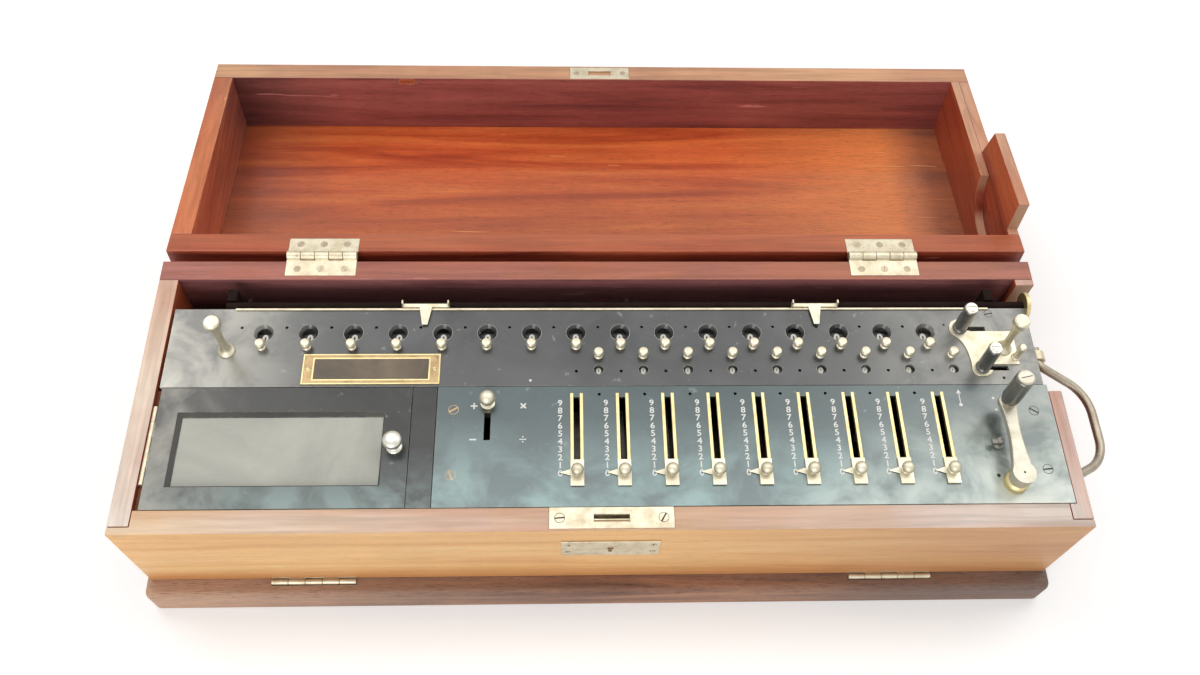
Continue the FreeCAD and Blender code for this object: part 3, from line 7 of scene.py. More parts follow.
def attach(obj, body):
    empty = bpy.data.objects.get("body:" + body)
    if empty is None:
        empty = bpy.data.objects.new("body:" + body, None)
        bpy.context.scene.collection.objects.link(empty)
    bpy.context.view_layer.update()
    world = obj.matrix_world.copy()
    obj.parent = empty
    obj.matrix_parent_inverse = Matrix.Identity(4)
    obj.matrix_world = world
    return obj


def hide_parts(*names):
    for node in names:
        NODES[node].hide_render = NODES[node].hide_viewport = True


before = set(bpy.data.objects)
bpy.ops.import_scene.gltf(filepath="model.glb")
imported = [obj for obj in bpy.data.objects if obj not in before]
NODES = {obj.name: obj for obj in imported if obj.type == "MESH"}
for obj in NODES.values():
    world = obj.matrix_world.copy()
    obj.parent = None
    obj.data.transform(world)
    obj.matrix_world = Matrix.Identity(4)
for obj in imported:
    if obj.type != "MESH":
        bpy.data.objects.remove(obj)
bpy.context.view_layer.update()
MM = 0.001

# ---- sizes in millimetres, as the solids have them
RIM = 110.0  # top of the case and of the black plates
XL, XR = -287.0, 287.0  # ends of the carriage
Y_SET, Y_CAR = -82.2, 0.8  # front edges of the setting plate and the carriage
PITCH, FIRST_DIAL_X, FIRST_SLOT_DIAL = 29.42, -224.4, 7
SLOTS, RESULT_DIALS, COUNTER_DIALS = 9, 16, 9
ZERO_Y, DIGIT = -60.3, 5.4111  # a slider at nought, and its step for each digit
RESULT_BACK, COUNTER_BACK = 29.2, 22.2  # axes of the dials behind the carriage's front edge
WINDOW_BACK, WINDOW_R = 40.0, 6.4  # windows of the result dials
SMALL_BACK, SMALL_R = 11.8, 3.25  # windows of the counter dials
SPINDLE_R, WHEEL_FOOT, WHEEL_TOP = 1.6, 99.5, 101.5  # dial spindles; clearing wheels and their racks
CRANK_X, CRANK_Y, CRANK_R = 255.5, -68.5, 49.0
ARM_TOP, CAP_TOP = 126.6, 158.7
COVER_TOP = RIM + 1.2  # nickel cover at the carriage's right end
TRAY_LID = (-283.2, -123.8, -82.2, 0.2)  # left, right, front and rear edge
TRAY_HOLE = (-270.5, -140.0, -67.7, -17.0)
TRAY_LID_FOOT = RIM - 4.0
SLATE_LEDGE, SLATE_FOOT, SLATE_TOP, SLATE_FACE = 3.0, 107.0, 109.0, 107.9
HINGE_X, HINGE_SCREW_Y = (-192.5, 197.0), 91.7  # the two butt hinges of the lid
LID_LEAF, LID_INNER = 110.3, -82.0  # shut lid: hinge leaves, inner face of its front board
LID_PIN = Vector((0, 102.4, 110.15))
OPENED = (Matrix.Translation(LID_PIN) @ Matrix.Rotation(math.radians(186.35), 4, Vector((-1, 0, 0)))
          @ Matrix.Translation(-LID_PIN))  # from the shut lid to the open one
MARK_FOOT, MARK_TOP = 0.01, 0.06  # painted marks above the surface below them


def result_x(i):
    return FIRST_DIAL_X + i * PITCH


def column_x(k):
    return result_x(FIRST_SLOT_DIAL + k)


def counter_x(k):
    return column_x(k) + PITCH / 2


# ---- node trees
def new_tree(name):
    material = bpy.data.materials.new(name)
    material.use_nodes = True
    tree = material.node_tree
    tree.nodes.clear()
    out = tree.nodes.new("ShaderNodeOutputMaterial")
    shader = tree.nodes.new("ShaderNodeBsdfPrincipled")
    tree.links.new(shader.outputs[0], out.inputs[0])
    return material, tree, shader


def put(tree, socket, value):
    if isinstance(value, bpy.types.NodeSocket):
        tree.links.new(value, socket)
    else:
        socket.default_value = value


def fill(tree, node, **inputs):
    """Link inputs to sockets or set their values; _ in a name stands for a space."""
    for key, value in inputs.items():
        put(tree, node.inputs[key.replace("_", " ")], value)
    return node


def add(tree, kind, settings=None, **inputs):
    node = tree.nodes.new(kind)
    for key, value in (settings or {}).items():
        setattr(node, key, value)
    return fill(tree, node, **inputs)


def stretched(tree, scale=(1, 1, 1), offset=(0, 0, 0)):
    place = add(tree, "ShaderNodeTexCoord").outputs["Object"]
    return add(tree, "ShaderNodeMapping", Vector=place, Scale=scale, Location=offset).outputs[0]


def noise(tree, vector, scale, detail=3.0, roughness=0.5, distortion=0.0):
    return add(tree, "ShaderNodeTexNoise", Vector=vector, Scale=scale, Detail=detail, Roughness=roughness,
               Distortion=distortion).outputs["Fac"]


def ramp(tree, fac, *stops):
    """Colour ramp; each stop is (position, colour or grey)."""
    node = add(tree, "ShaderNodeValToRGB", Fac=fac)
    elements = node.color_ramp.elements
    elements.remove(elements[0])
    for i, (position, colour) in enumerate(stops):
        element = elements[0] if i == 0 else elements.new(position)
        element.position = position
        colour = (colour,) * 3 if isinstance(colour, (int, float)) else colour
        element.color = (*colour, 1)
    return node.outputs["Color"]


def mix(tree, fac, a, b, blend="MIX"):
    node = add(tree, "ShaderNodeMixRGB", {"blend_type": blend}, Fac=fac)
    for socket, value in ((node.inputs["Color1"], a), (node.inputs["Color2"], b)):
        put(tree, socket, (*value, 1) if isinstance(value, tuple) else value)
    return node.outputs[0]


def pair(tree, kind, operation, a, b):
    """Node for an operation on two values."""
    node = add(tree, kind, {"operation": operation})
    put(tree, node.inputs[0], a)
    put(tree, node.inputs[1], b)
    return node


def calc(tree, operation, a, b):
    return pair(tree, "ShaderNodeMath", operation, a, b).outputs[0]


def times(tree, a, b):
    return calc(tree, "MULTIPLY", a, b)


def dot(tree, a, b):
    return pair(tree, "ShaderNodeVectorMath", "DOT_PRODUCT", a, b).outputs["Value"]


def mapped(tree, value, low, high, to_low=0.0, to_high=1.0):
    return add(tree, "ShaderNodeMapRange", Value=value, From_Min=low, From_Max=high, To_Min=to_low,
               To_Max=to_high).outputs[0]


def relief(tree, height, strength, distance):
    return add(tree, "ShaderNodeBump", Height=height, Strength=strength, Distance=distance).outputs[0]


def edge_mask(tree, radius):
    """White where the surface turns sharply within radius, in metres."""
    soft = add(tree, "ShaderNodeBevel", {"samples": 4}, Radius=radius).outputs[0]
    true = add(tree, "ShaderNodeNewGeometry").outputs["True Normal"]
    return ramp(tree, dot(tree, soft, true), (0.72, 1.0), (0.97, 0.0))


def reach(tree, socket_name, direction, low, high):
    """0 to 1 as the place or the normal of a point goes from low to high along a direction."""
    place = add(tree, "ShaderNodeTexCoord").outputs[socket_name]
    return mapped(tree, dot(tree, place, direction), low, high)


def toned(colour, factor, lift=0.0):
    return tuple(min(1.0, c * factor + lift) for c in colour)


# ---- finishes
GRAIN = {"x": (1, 18, 18), "y": (18, 1, 18)}
FACING = (0.80, 0.95)  # shares of a normal that count as facing a direction


def wood(name, axis, dark, mid, light, seed, gloss=0.34, coat=0.2, wear=0.45, bump=0.25, figure=1.0, rim=None,
         end=None, tone_and_shade=()):
    """Varnished wood with long figure, fibres and short dark pores along one axis of the object.

    rim is (direction, colour) of faces turned that way, paler partly from rubbed wear and partly as painted
    light where the lamps catch them, and more entries are changes of colour as in the list of slow changes. end
    is the
    colour of the end grain, and the list of slow changes gives (direction, from, to, colour) across the board:
    some are changes of tone, and some are painted shade in corners and at the ends of boards."""
    material, tree, shader = new_tree(name)
    grain = GRAIN[axis]
    shift = (seed * 0.73, seed * 1.31, seed * 0.57)
    along = stretched(tree, grain, shift)
    plain = stretched(tree, (1, 1, 1), shift)
    bands = noise(tree, along, 3.2, 4, 0.55, 1.1)
    stripes = noise(tree, along, 11.0, 3, 0.6, 0.4)
    fibre = noise(tree, along, 60.0, 4, 0.6)
    pores = noise(tree, along, 150.0, 2, 0.5)
    blotch = noise(tree, plain, 7.0, 4, 0.6)
    streaks = noise(tree, stretched(tree, tuple(2.2 + g / 9 for g in grain), shift), 42.0, 5, 0.72)
    across = stretched(tree, tuple(3.0 if g > 1 else 0.22 for g in grain), shift)
    nicks = noise(tree, across, 90.0, 2, 0.4, 0.5)
    base = ramp(tree, bands, (0.30, dark), (0.48, mid), (0.70, light))
    base = mix(tree, 0.45 * figure, base, ramp(tree, stripes, (0.35, dark), (0.62, light)), "SOFT_LIGHT")
    # Slow changes of colour across the board, some of them painted shade in corners and at board ends
    for *span, tone in tone_and_shade:
        zone = times(tree, reach(tree, "Object", *span), 0.85)
        base = mix(tree, times(tree, zone, ramp(tree, bands, (0.30, 1.0), (0.70, 0.6))), base, tone)
    for share, pattern, low, shade, high in ((0.35, fibre, 0.30, 0.45, 0.62), (0.55, pores, 0.30, 0.25, 0.43),
                                             (0.40, blotch, 0.34, 0.55, 0.60)):
        base = mix(tree, share * figure, base, ramp(tree, pattern, (low, shade), (high, 1.0)), "MULTIPLY")
    base = mix(tree, times(tree, ramp(tree, streaks, (0.63, 0.0), (0.72, 1.0)), 0.28), base, toned(dark, 0.35))
    base = mix(tree, times(tree, ramp(tree, nicks, (0.735, 0.0), (0.76, 1.0)), 0.45), base,
               toned(light, 1.5, 0.08))
    # Paler faces turned one way: rubbed wear, with painted light on the faces that catch the lamps
    if rim:
        faded_and_lit = times(tree, reach(tree, "Normal", rim[0], *FACING),
                      ramp(tree, blotch, (0.36, 1.0), (0.66, 0.40)))
        stains = ramp(tree, noise(tree, along, 1.5, 3, 0.6, 0.3), (0.47, 0.0), (0.60, 0.75))
        pale = rim[1]
        for *span, tone in rim[2:]:
            pale = mix(tree, reach(tree, "Object", *span), pale, tone)
        pale = mix(tree, stains, pale, mix(tree, 1.0, pale, (0.84, 0.56, 0.44), "MULTIPLY"))
        pale = mix(tree, 0.35, pale, ramp(tree, stripes, (0.35, 0.25), (0.62, 1.0)), "MULTIPLY")
        base = mix(tree, faded_and_lit, base, pale)
    if end:
        for sign in (1.0, -1.0):
            outward = tuple(sign if a == axis else 0.0 for a in "xyz")
            base = mix(tree, times(tree, reach(tree, "Normal", outward, *FACING), 0.85), base, end)
    rubbed = ramp(tree, noise(tree, plain, 55.0, 4, 0.7), (0.40, 0.0), (0.62, wear))
    base = mix(tree, times(tree, edge_mask(tree, 0.0016), rubbed), base, toned(light, 1.5, 0.05))
    height = mix(tree, 0.5, ramp(tree, pores, (0.30, 0.0), (0.43, 1.0)), fibre)
    fill(tree, shader, Base_Color=base, Roughness=mapped(tree, blotch, 0.3, 0.7, gloss, gloss + 0.16),
         Normal=relief(tree, height, bump, 0.00025), Specular_IOR_Level=0.35, Coat_Weight=coat,
         Coat_Roughness=0.16)
    return material


def metal(name, colour, rough, tarnish, amount, seed=0.0, edge=0.0):
    """Plated or bare metal with dull patches, fine scratches and darker tarnish."""
    material, tree, shader = new_tree(name)
    plain = stretched(tree, (1, 1, 1), (seed, seed * 0.4, seed * 1.7))
    cloud = noise(tree, plain, 90.0, 5, 0.65)
    spots = noise(tree, plain, 700.0, 3, 0.6)
    lines = noise(tree, stretched(tree, (1, 30, 6), (seed, 0, 0)), 260.0, 3, 0.6)
    base = mix(tree, ramp(tree, cloud, (0.42, 0.0), (0.68, amount)), colour, tarnish)
    base = mix(tree, ramp(tree, spots, (0.62, 0.0), (0.72, amount)), base, toned(tarnish, 0.5))
    if edge:
        base = mix(tree, times(tree, edge_mask(tree, 0.0005), edge), base, toned(colour, 1.25))
    dull = calc(tree, "ADD", rough, times(tree, cloud, 0.16))
    fill(tree, shader, Base_Color=base, Metallic=1.0,
         Roughness=calc(tree, "ADD", dull, times(tree, lines, 0.10)), Normal=relief(tree, lines, 0.3, 0.00003))
    return material


def black(name, colour, rough, wear_colour, seed=0.0, specks=1.0, wear=0.7, shine=0.5, tint=(1, 1, 1), coat=0.0,
          dabs=0.0, painted_glare=()):
    """Satin black finish with dull smudges, fine lines, pale specks, edges rubbed bare and paler zones of
    painted reflection.

    dabs is the strength of small pale smears, and the list of zones gives (direction, from, to, colour) of
    paler patches painted as reflections of the lamps."""
    material, tree, shader = new_tree(name)
    plain = stretched(tree, (1, 1, 1), (seed, seed * 1.9, seed * 0.3))
    smudge = noise(tree, plain, 16.0, 5, 0.62, 0.6)
    cloudy = noise(tree, plain, 26.0, 4, 0.6, 0.4)
    fine = noise(tree, plain, 240.0, 3, 0.55)
    drift = noise(tree, stretched(tree, (3.0, 1.0, 1.0), (seed, 0, 0)), 60.0, 4, 0.7)
    lines = noise(tree, stretched(tree, (1.0, 40.0, 8.0), (seed, 0, 0)), 70.0, 3, 0.6)
    base = mix(tree, ramp(tree, smudge, (0.40, 0.0), (0.66, 0.75)), colour, toned(colour, 2.6, 0.014))
    # Paler zones painted as reflections of the lamps on the plate
    for *span, tone in painted_glare:
        zone = times(tree, reach(tree, "Object", *span), ramp(tree, cloudy, (0.38, 0.18), (0.60, 1.0)))
        base = mix(tree, zone, base, tone)
    if dabs:
        patch = noise(tree, stretched(tree, (0.8, 1.0, 1.0), (seed * 2.1, seed, 0)), 135.0, 2, 0.5, 0.25)
        base = mix(tree, times(tree, ramp(tree, patch, (0.68, 0.0), (0.76, 1.0)), dabs), base,
                   (0.26, 0.28, 0.26))
    chips = times(tree, ramp(tree, fine, (0.70, 0.0), (0.74, 0.7)),
                  ramp(tree, smudge, (0.48, 0.0), (0.6, specks)))
    base = mix(tree, chips, base, (0.24, 0.24, 0.22))
    rubbed = times(tree, edge_mask(tree, 0.0006), ramp(tree, drift, (0.42, 0.0), (0.58, wear)))
    worn = calc(tree, "ADD", smudge, times(tree, lines, 0.35))
    fill(tree, shader, Base_Color=mix(tree, rubbed, base, wear_colour),
         Roughness=mapped(tree, worn, 0.4, 0.95, rough, rough + 0.18),
         Normal=relief(tree, drift, 0.12, 0.00008), Specular_IOR_Level=shine, Specular_Tint=(*tint, 1),
         Coat_Weight=coat, Coat_Roughness=0.18, Coat_Tint=(*tint, 1))
    return material


def paint(name, colour, rough, worn):
    """Filled-in white paint, slightly uneven."""
    material, tree, shader = new_tree(name)
    uneven = noise(tree, stretched(tree), 900.0, 3, 0.6)
    base = mix(tree, ramp(tree, uneven, (0.45, 0.0), (0.75, worn)), colour, (0.35, 0.34, 0.30))
    fill(tree, shader, Base_Color=base, Roughness=rough)
    return material


def slate_finish():
    """Matt grey writing slate with rubbed chalk haze and faint strokes."""
    material, tree, shader = new_tree("slate_grey")
    plain = stretched(tree)
    haze = noise(tree, plain, 9.0, 5, 0.6, 0.8)
    strokes = noise(tree, stretched(tree, (2, 30, 1), (0.4, 0.1, 0)), 28.0, 4, 0.65, 0.6)
    grit = noise(tree, plain, 1500.0, 2, 0.5)
    base = mix(tree, ramp(tree, haze, (0.35, 0.0), (0.70, 1.0)), (0.330, 0.335, 0.300), (0.540, 0.540, 0.470))
    base = mix(tree, ramp(tree, strokes, (0.58, 0.0), (0.74, 0.35)), base, (0.56, 0.56, 0.50))
    base = mix(tree, ramp(tree, grit, (0.4, 0.0), (0.7, 0.25)), base, (0.46, 0.46, 0.41))
    fill(tree, shader, Base_Color=base, Roughness=0.52, Normal=relief(tree, grit, 0.15, 0.00005))
    return material


RED = dict(dark=(0.245, 0.052, 0.026), mid=(0.440, 0.112, 0.052), light=(0.580, 0.190, 0.085))
BRIGHT = dict(dark=(0.430, 0.078, 0.024), mid=(0.700, 0.170, 0.052), light=(0.840, 0.275, 0.090))
FADED = dict(dark=(0.700, 0.370, 0.155), mid=(0.830, 0.490, 0.215), light=(0.890, 0.580, 0.290))
BASE = dict(dark=(0.165, 0.105, 0.085), mid=(0.360, 0.225, 0.175), light=(0.580, 0.350, 0.230))
INSIDE = dict(dark=(0.215, 0.072, 0.068), mid=(0.390, 0.138, 0.124), light=(0.510, 0.200, 0.170))
REAR = dict(dark=(0.230, 0.100, 0.105), mid=(0.420, 0.190, 0.190), light=(0.540, 0.260, 0.250))
TRAY = dict(dark=(0.200, 0.085, 0.040), mid=(0.330, 0.160, 0.080), light=(0.430, 0.235, 0.125))
END = (0.470, 0.285, 0.170)
LEFT, RIGHT, FRONT, BACK = (-1.0, 0.0, 0.0), (1.0, 0.0, 0.0), (0.0, -1.0, 0.0), (0.0, 1.0, 0.0)
TOP, DOWNWARD, CORNER = (0.0, 0.0, 1.0), (0.0, 0.0, -1.0), (0.5, -0.87, 0.0)
LID_TOP = tuple(OPENED.to_3x3() @ Vector(DOWNWARD))  # the lid's rims face up once it is open

M = {
    # Top rims of the side walls, nearly white towards the front: rubbed wear with a painted highlight of the
    # lamps' glare
    "left_y": wood("mahogany_left", "y", seed=2.0, end=END,
                   rim=(TOP, (0.95, 0.76, 0.58), (FRONT, -0.04, 0.08, (0.98, 0.88, 0.76))), **RED),
    "rear_x": wood("mahogany_rear", "x", seed=1.0, rim=(TOP, (0.50, 0.165, 0.080)), end=END, **REAR),
    "right_y": wood("mahogany_right", "y", seed=2.6, end=END,
                    rim=(TOP, (0.86, 0.62, 0.51), (FRONT, -0.02, 0.09, (0.97, 0.85, 0.77))), **RED),
    # Dark far end of the lid's left board: painted shade in the corner
    "lid_left": wood("mahogany_lid_left", "y", seed=5.0, wear=0.9, end=END,
                     rim=(LID_TOP, (0.78, 0.29, 0.115)), tone_and_shade=((BACK, 0.17, 0.27, (0.150, 0.065, 0.060)),),
                     dark=(0.44, 0.120, 0.068), mid=(0.72, 0.240, 0.130), light=(0.86, 0.35, 0.19)),
    "lid_right": wood("mahogany_lid_right", "y", seed=5.7, wear=0.8, rim=(LID_TOP, (0.76, 0.44, 0.28)), end=END,
                      **RED),
    "lid_rear": wood("mahogany_lid_rear", "x", seed=9.0, rim=(LID_TOP, (0.56, 0.16, 0.070)), end=END, **RED),
    # Dark left end of the lid's front board: painted shade in the corner
    "lid_front": wood("mahogany_lid_front", "x", seed=10.0, wear=0.8, end=END,
                      rim=(LID_TOP, (0.74, 0.40, 0.215)),
                      tone_and_shade=((LEFT, 0.20, 0.28, (0.075, 0.035, 0.035)),), **INSIDE),
    # Lid panel: painted shade at its left end and a painted shadow at its right end; between them browner
    # towards the hinge and lighter, more orange towards the right
    "panel_x": wood("mahogany_panel", "x", seed=3.0, gloss=0.30, coat=0.25,
                    tone_and_shade=((LEFT, 0.20, 0.29, (0.20, 0.060, 0.040)), (FRONT, -0.24, -0.14, (0.44, 0.150, 0.070)),
                          (RIGHT, 0.10, 0.24, (0.98, 0.33, 0.100)), (RIGHT, 0.235, 0.27, (0.22, 0.085, 0.065))),
                    **BRIGHT),
    # Drop front: rim nearly white towards the left as painted highlight, face darker towards the right as
    # painted shade, and darker orange towards the bottom edge
    "flap_x": wood("mahogany_faded", "x", seed=4.0, gloss=0.40, coat=0.1, bump=0.10, figure=0.45, end=END,
                   rim=(TOP, (0.74, 0.50, 0.39), (LEFT, 0.10, 0.28, (0.98, 0.86, 0.72)),
                        (RIGHT, 0.10, 0.28, (0.80, 0.70, 0.64))),
                   tone_and_shade=((DOWNWARD, -0.050, -0.028, (0.60, 0.23, 0.070)),
                         (RIGHT, 0.02, 0.26, (0.52, 0.235, 0.100))), **FADED),
    "base_x": wood("base_stained", "x", seed=6.0, gloss=0.50, coat=0.0, wear=0.9, bump=0.5, figure=1.2,
                   tone_and_shade=((LEFT, 0.02, 0.28, (0.74, 0.48, 0.34)), (RIGHT, 0.05, 0.28, (0.225, 0.170, 0.145))),
                   **BASE),
    "tray_x": wood("tray_wood_x", "x", seed=7.0, gloss=0.55, coat=0.0, wear=0.2, **TRAY),
    "tray_y": wood("tray_wood_y", "y", seed=8.0, gloss=0.55, coat=0.0, wear=0.2, **TRAY),
    "plug": wood("plug_red", "x", (0.36, 0.10, 0.05), (0.62, 0.22, 0.11), (0.74, 0.36, 0.20), 31.0, wear=0.9),
    "scuff": wood("scuff_grey", "x", (0.16, 0.08, 0.07), (0.30, 0.17, 0.15), (0.42, 0.28, 0.24), 33.0),
    "nickel": metal("nickel_worn", (0.700, 0.655, 0.520), 0.36, (0.420, 0.350, 0.220), 0.5, edge=0.5),
    "arm": metal("nickel_arm", (0.560, 0.535, 0.450), 0.38, (0.400, 0.340, 0.230), 0.5, 2.0, edge=0.5),
    "bright": metal("nickel_bright", (0.700, 0.680, 0.600), 0.24, (0.520, 0.460, 0.330), 0.35, 3.0, edge=0.4),
    "pale": metal("brass_pale", (0.670, 0.610, 0.470), 0.38, (0.400, 0.320, 0.195), 0.60, 5.0, edge=0.5),
    "screw": metal("screw_dull", (0.500, 0.440, 0.330), 0.40, (0.260, 0.200, 0.130), 0.7, 6.0, edge=0.6),
    "yellow": metal("brass_yellow", (0.720, 0.610, 0.330), 0.30, (0.420, 0.300, 0.130), 0.45, 7.0, edge=0.5),
    "brown": metal("brass_brown", (0.400, 0.315, 0.215), 0.36, (0.190, 0.135, 0.090), 0.7, 9.0, edge=0.7),
    "bail": metal("bail_brass", (0.390, 0.345, 0.270), 0.30, (0.260, 0.200, 0.150), 0.6, 10.0, edge=0.4),
    "steel": metal("steel_machined", (0.300, 0.290, 0.270), 0.40, (0.120, 0.100, 0.080), 0.6, 11.0),
    "blued": metal("steel_blued", (0.030, 0.019, 0.016), 0.72, (0.020, 0.012, 0.010), 0.6, 14.0),
    "band": metal("plate_band", (0.430, 0.310, 0.170), 0.34, (0.200, 0.130, 0.070), 0.7, 16.0),
    # The grey, teal and near-white zones of the carriage, setting plate and tray frame are painted reflections
    # of the lamps
    "black": black("black_carriage", (0.016, 0.018, 0.018), 0.26, (0.42, 0.38, 0.30), shine=0.85, coat=0.55,
                   dabs=0.6, painted_glare=((RIGHT, 0.17, 0.30, (0.46, 0.45, 0.400)),
                                    (LEFT, 0.19, 0.285, (0.60, 0.580, 0.500)))),
    "black2": black("black_setting", (0.011, 0.017, 0.019), 0.26, (0.40, 0.37, 0.30), seed=4.0, shine=1.0,
                    tint=(0.90, 1.0, 1.0), coat=0.6, dabs=0.5,
                    painted_glare=((FRONT, 0.022, 0.076, (0.225, 0.330, 0.325)),
                           (CORNER, 0.110, 0.20, (0.72, 0.68, 0.60)))),
    "frame": black("black_frame", (0.012, 0.012, 0.012), 0.24, (0.34, 0.27, 0.19), seed=8.0, specks=0.6,
                   coat=0.1, dabs=0.5, painted_glare=((FRONT, 0.042, 0.080, (0.230, 0.310, 0.300)),
                                              (LEFT, 0.225, 0.283, (0.36, 0.345, 0.30)))),
    "ebonite": black("ebonite_black", (0.034, 0.032, 0.026), 0.22, (0.16, 0.14, 0.11), seed=12.0, specks=0.3,
                     wear=0.4, shine=1.0, coat=1.0),
    "disc": black("dial_black", (0.016, 0.017, 0.018), 0.36, (0.10, 0.10, 0.10), 15.0, specks=0.2, wear=0.2),
    # Dark recess material: painted shade in screw slots, round screw heads, oil holes and the crank's slot and
    # pin hole
    "dark": black("recess_painted_shade", (0.010, 0.009, 0.008), 0.6, (0.03, 0.03, 0.03), 20.0, specks=0.0, wear=0.0),
    "field": black("plate_field", (0.085, 0.062, 0.040), 0.34, (0.30, 0.22, 0.12), 13.0, specks=0.5, wear=0.5),
    "moulding": black("frame_moulding", (0.030, 0.029, 0.025), 0.50, (0.45, 0.42, 0.34), seed=18.0, wear=0.9),
    # Paler ring of the windows and oil holes: rubbed edge and painted highlight of the countersink
    "ring": black("window_edge", (0.12, 0.12, 0.11), 0.30, (0.50, 0.47, 0.40), seed=17.0, shine=0.8),
    "white": paint("numeral_white", (0.86, 0.86, 0.82), 0.5, 0.35),
    "cream": paint("numeral_cream", (0.88, 0.86, 0.76), 0.45, 0.25),
    "slate": slate_finish(),
}


# ---- outlines and meshes, in millimetres
def corners(x0, x1, y0, y1):
    return [(x0, y0), (x1, y0), (x1, y1), (x0, y1)]


def circle(r, steps, x=0.0, y=0.0):
    return [(x + r * math.cos(2 * math.pi * j / steps), y + r * math.sin(2 * math.pi * j / steps))
            for j in range(steps)]


def half_disc(r, gap, n=10):
    """Outline of half a disc, cut off at a distance gap from its middle."""
    a0 = math.asin(gap / r)
    angles = [a0 + (math.pi - 2 * a0) * i / n for i in range(n + 1)]
    return [(r * math.cos(a), r * math.sin(a)) for a in angles]


def rounded(points, rounds=2):
    """Corner cutting that keeps the two ends, for smooth profiles that stay inside the given one."""
    for _ in range(rounds):
        cut = [points[0]]
        for a, b in zip(points, points[1:]):
            cut += [(a[0] * 0.75 + b[0] * 0.25, a[1] * 0.75 + b[1] * 0.25),
                    (a[0] * 0.25 + b[0] * 0.75, a[1] * 0.25 + b[1] * 0.75)]
        points = cut + [points[-1]]
    return points


def turned(shape, radius, height, rounds=2):
    """Rounded profile from points given as shares of the radius and the height."""
    return rounded([(radius * a, height * b) for a, b in shape], rounds)


def paint_faces(verts, mat):
    for face in {f for v in verts for f in v.link_faces}:
        face.material_index = mat


def add_loop(bm, outline, z):
    return [bm.verts.new((x, y, z)) for x, y in outline]


def skin(bm, loops, closed=False):
    """Faces from each loop of vertices to the next, and from the last to the first where closed."""
    for a, b in zip(loops, loops[1:] + (loops[:1] if closed else [])):
        for j in range(len(a)):
            k = (j + 1) % len(a)
            bm.faces.new((a[j], a[k], b[k], b[j]))


def add_stack(bm, loops, mat):
    """Solid through loops of vertices from foot to top."""
    bm.faces.new(loops[0][::-1])
    bm.faces.new(loops[-1])
    skin(bm, loops)
    made = [v for loop in loops for v in loop]
    paint_faces(made, mat)
    return made


def add_prism(bm, outline, z0, z1, mat=0):
    return add_stack(bm, [add_loop(bm, outline, z) for z in (z0, z1)], mat)


def add_lathe(bm, profile, centre=(0, 0, 0), steps=28, mat=0):
    """Solid of revolution about a vertical axis; profile is (radius, height) pairs from foot to top."""
    x, y, foot = centre
    return add_stack(bm, [add_loop(bm, circle(r, steps, x, y), foot + z) for r, z in profile], mat)


def add_ring(bm, x, y, r, width, steps=40):
    """Thin raised ring on a plate at the edge of a round hole, paler partly as rubbed wear and partly as
    painted highlight.
    """
    profile = [(r, RIM), (r + width, RIM), (r + width * 0.7, RIM + 0.05), (r, RIM + 0.07)]
    skin(bm, [add_loop(bm, circle(a, steps, x, y), z) for a, z in profile], closed=True)


def mitred_frame(bm, x0, x1, y0, y1, profile, mat=0, near=1.0):
    """Moulding swept round a rectangle; profile is (distance in from the outer edge, height), a closed loop.

    near scales the width of the right and front sides."""
    mitres = [(x0, y0, 1, near), (x1, y0, -near, near), (x1, y1, -near, -1), (x0, y1, 1, -1)]
    loops = [[bm.verts.new((x + sx * d, y + sy * d, z)) for d, z in profile] for x, y, sx, sy in mitres]
    skin(bm, loops, closed=True)
    paint_faces([v for loop in loops for v in loop], mat)


def at(x, y, z):
    return Matrix.Translation((x, y, z))


def spun(degrees, axis):
    return Matrix.Rotation(math.radians(degrees), 4, axis)


def add_screw(bm, place, r, turn, mat=0, dark=1, proud=0.1):
    """Slotted screw head with its axis along the z of place and its face just above the surface."""
    # The disc under the head shows in the slot and round the head; in the dark recess material it is painted
    # shade
    made = add_prism(bm, circle(1.12 * r, 20), -0.5, 0.03, dark)
    for side in (1, -1):
        outline = [(x * side, y * side) for x, y in half_disc(r, r * 0.17)]
        made += add_prism(bm, outline, -0.4, proud * 0.6, mat)
        inner = [(x * 0.86, y * 0.86 + side * r * 0.02) for x, y in outline]
        made += add_prism(bm, inner, 0.0, proud, mat)
    bmesh.ops.transform(bm, matrix=place @ spun(turn, "Z"), verts=made)


def linked(name, data):
    obj = bpy.data.objects.new(name, data)
    bpy.context.scene.collection.objects.link(obj)
    return obj


def to_mesh(name, bm):
    mesh = bpy.data.meshes.new(name)
    bm.to_mesh(mesh)
    bm.free()
    return mesh


GLYPHS = {}
GLYPH_THICK, SIGN_HEIGHT = 0.05, 0.70


def glyph(character, weight):
    """Vertices and faces of a character, one unit high and centred; weight thickens its strokes."""
    if (character, weight) not in GLYPHS:
        curve = bpy.data.curves.new("glyph", "FONT")
        curve.body = character
        curve.offset = weight
        curve.resolution_u = 4
        holder = linked("glyph", curve)
        mesh = bpy.data.meshes.new_from_object(holder.evaluated_get(bpy.context.evaluated_depsgraph_get()))
        points = [v.co.copy() for v in mesh.vertices]
        x0, x1 = min(p.x for p in points), max(p.x for p in points)
        y0, y1 = min(p.y for p in points), max(p.y for p in points)
        size = (y1 - y0) if character.isdigit() else SIGN_HEIGHT
        points = [((p.x - (x0 + x1) / 2) / size, (p.y - (y0 + y1) / 2) / size) for p in points]
        GLYPHS[character, weight] = (points, [tuple(f.vertices) for f in mesh.polygons])
        bpy.data.objects.remove(holder)
        bpy.data.meshes.remove(mesh)
    return GLYPHS[character, weight]


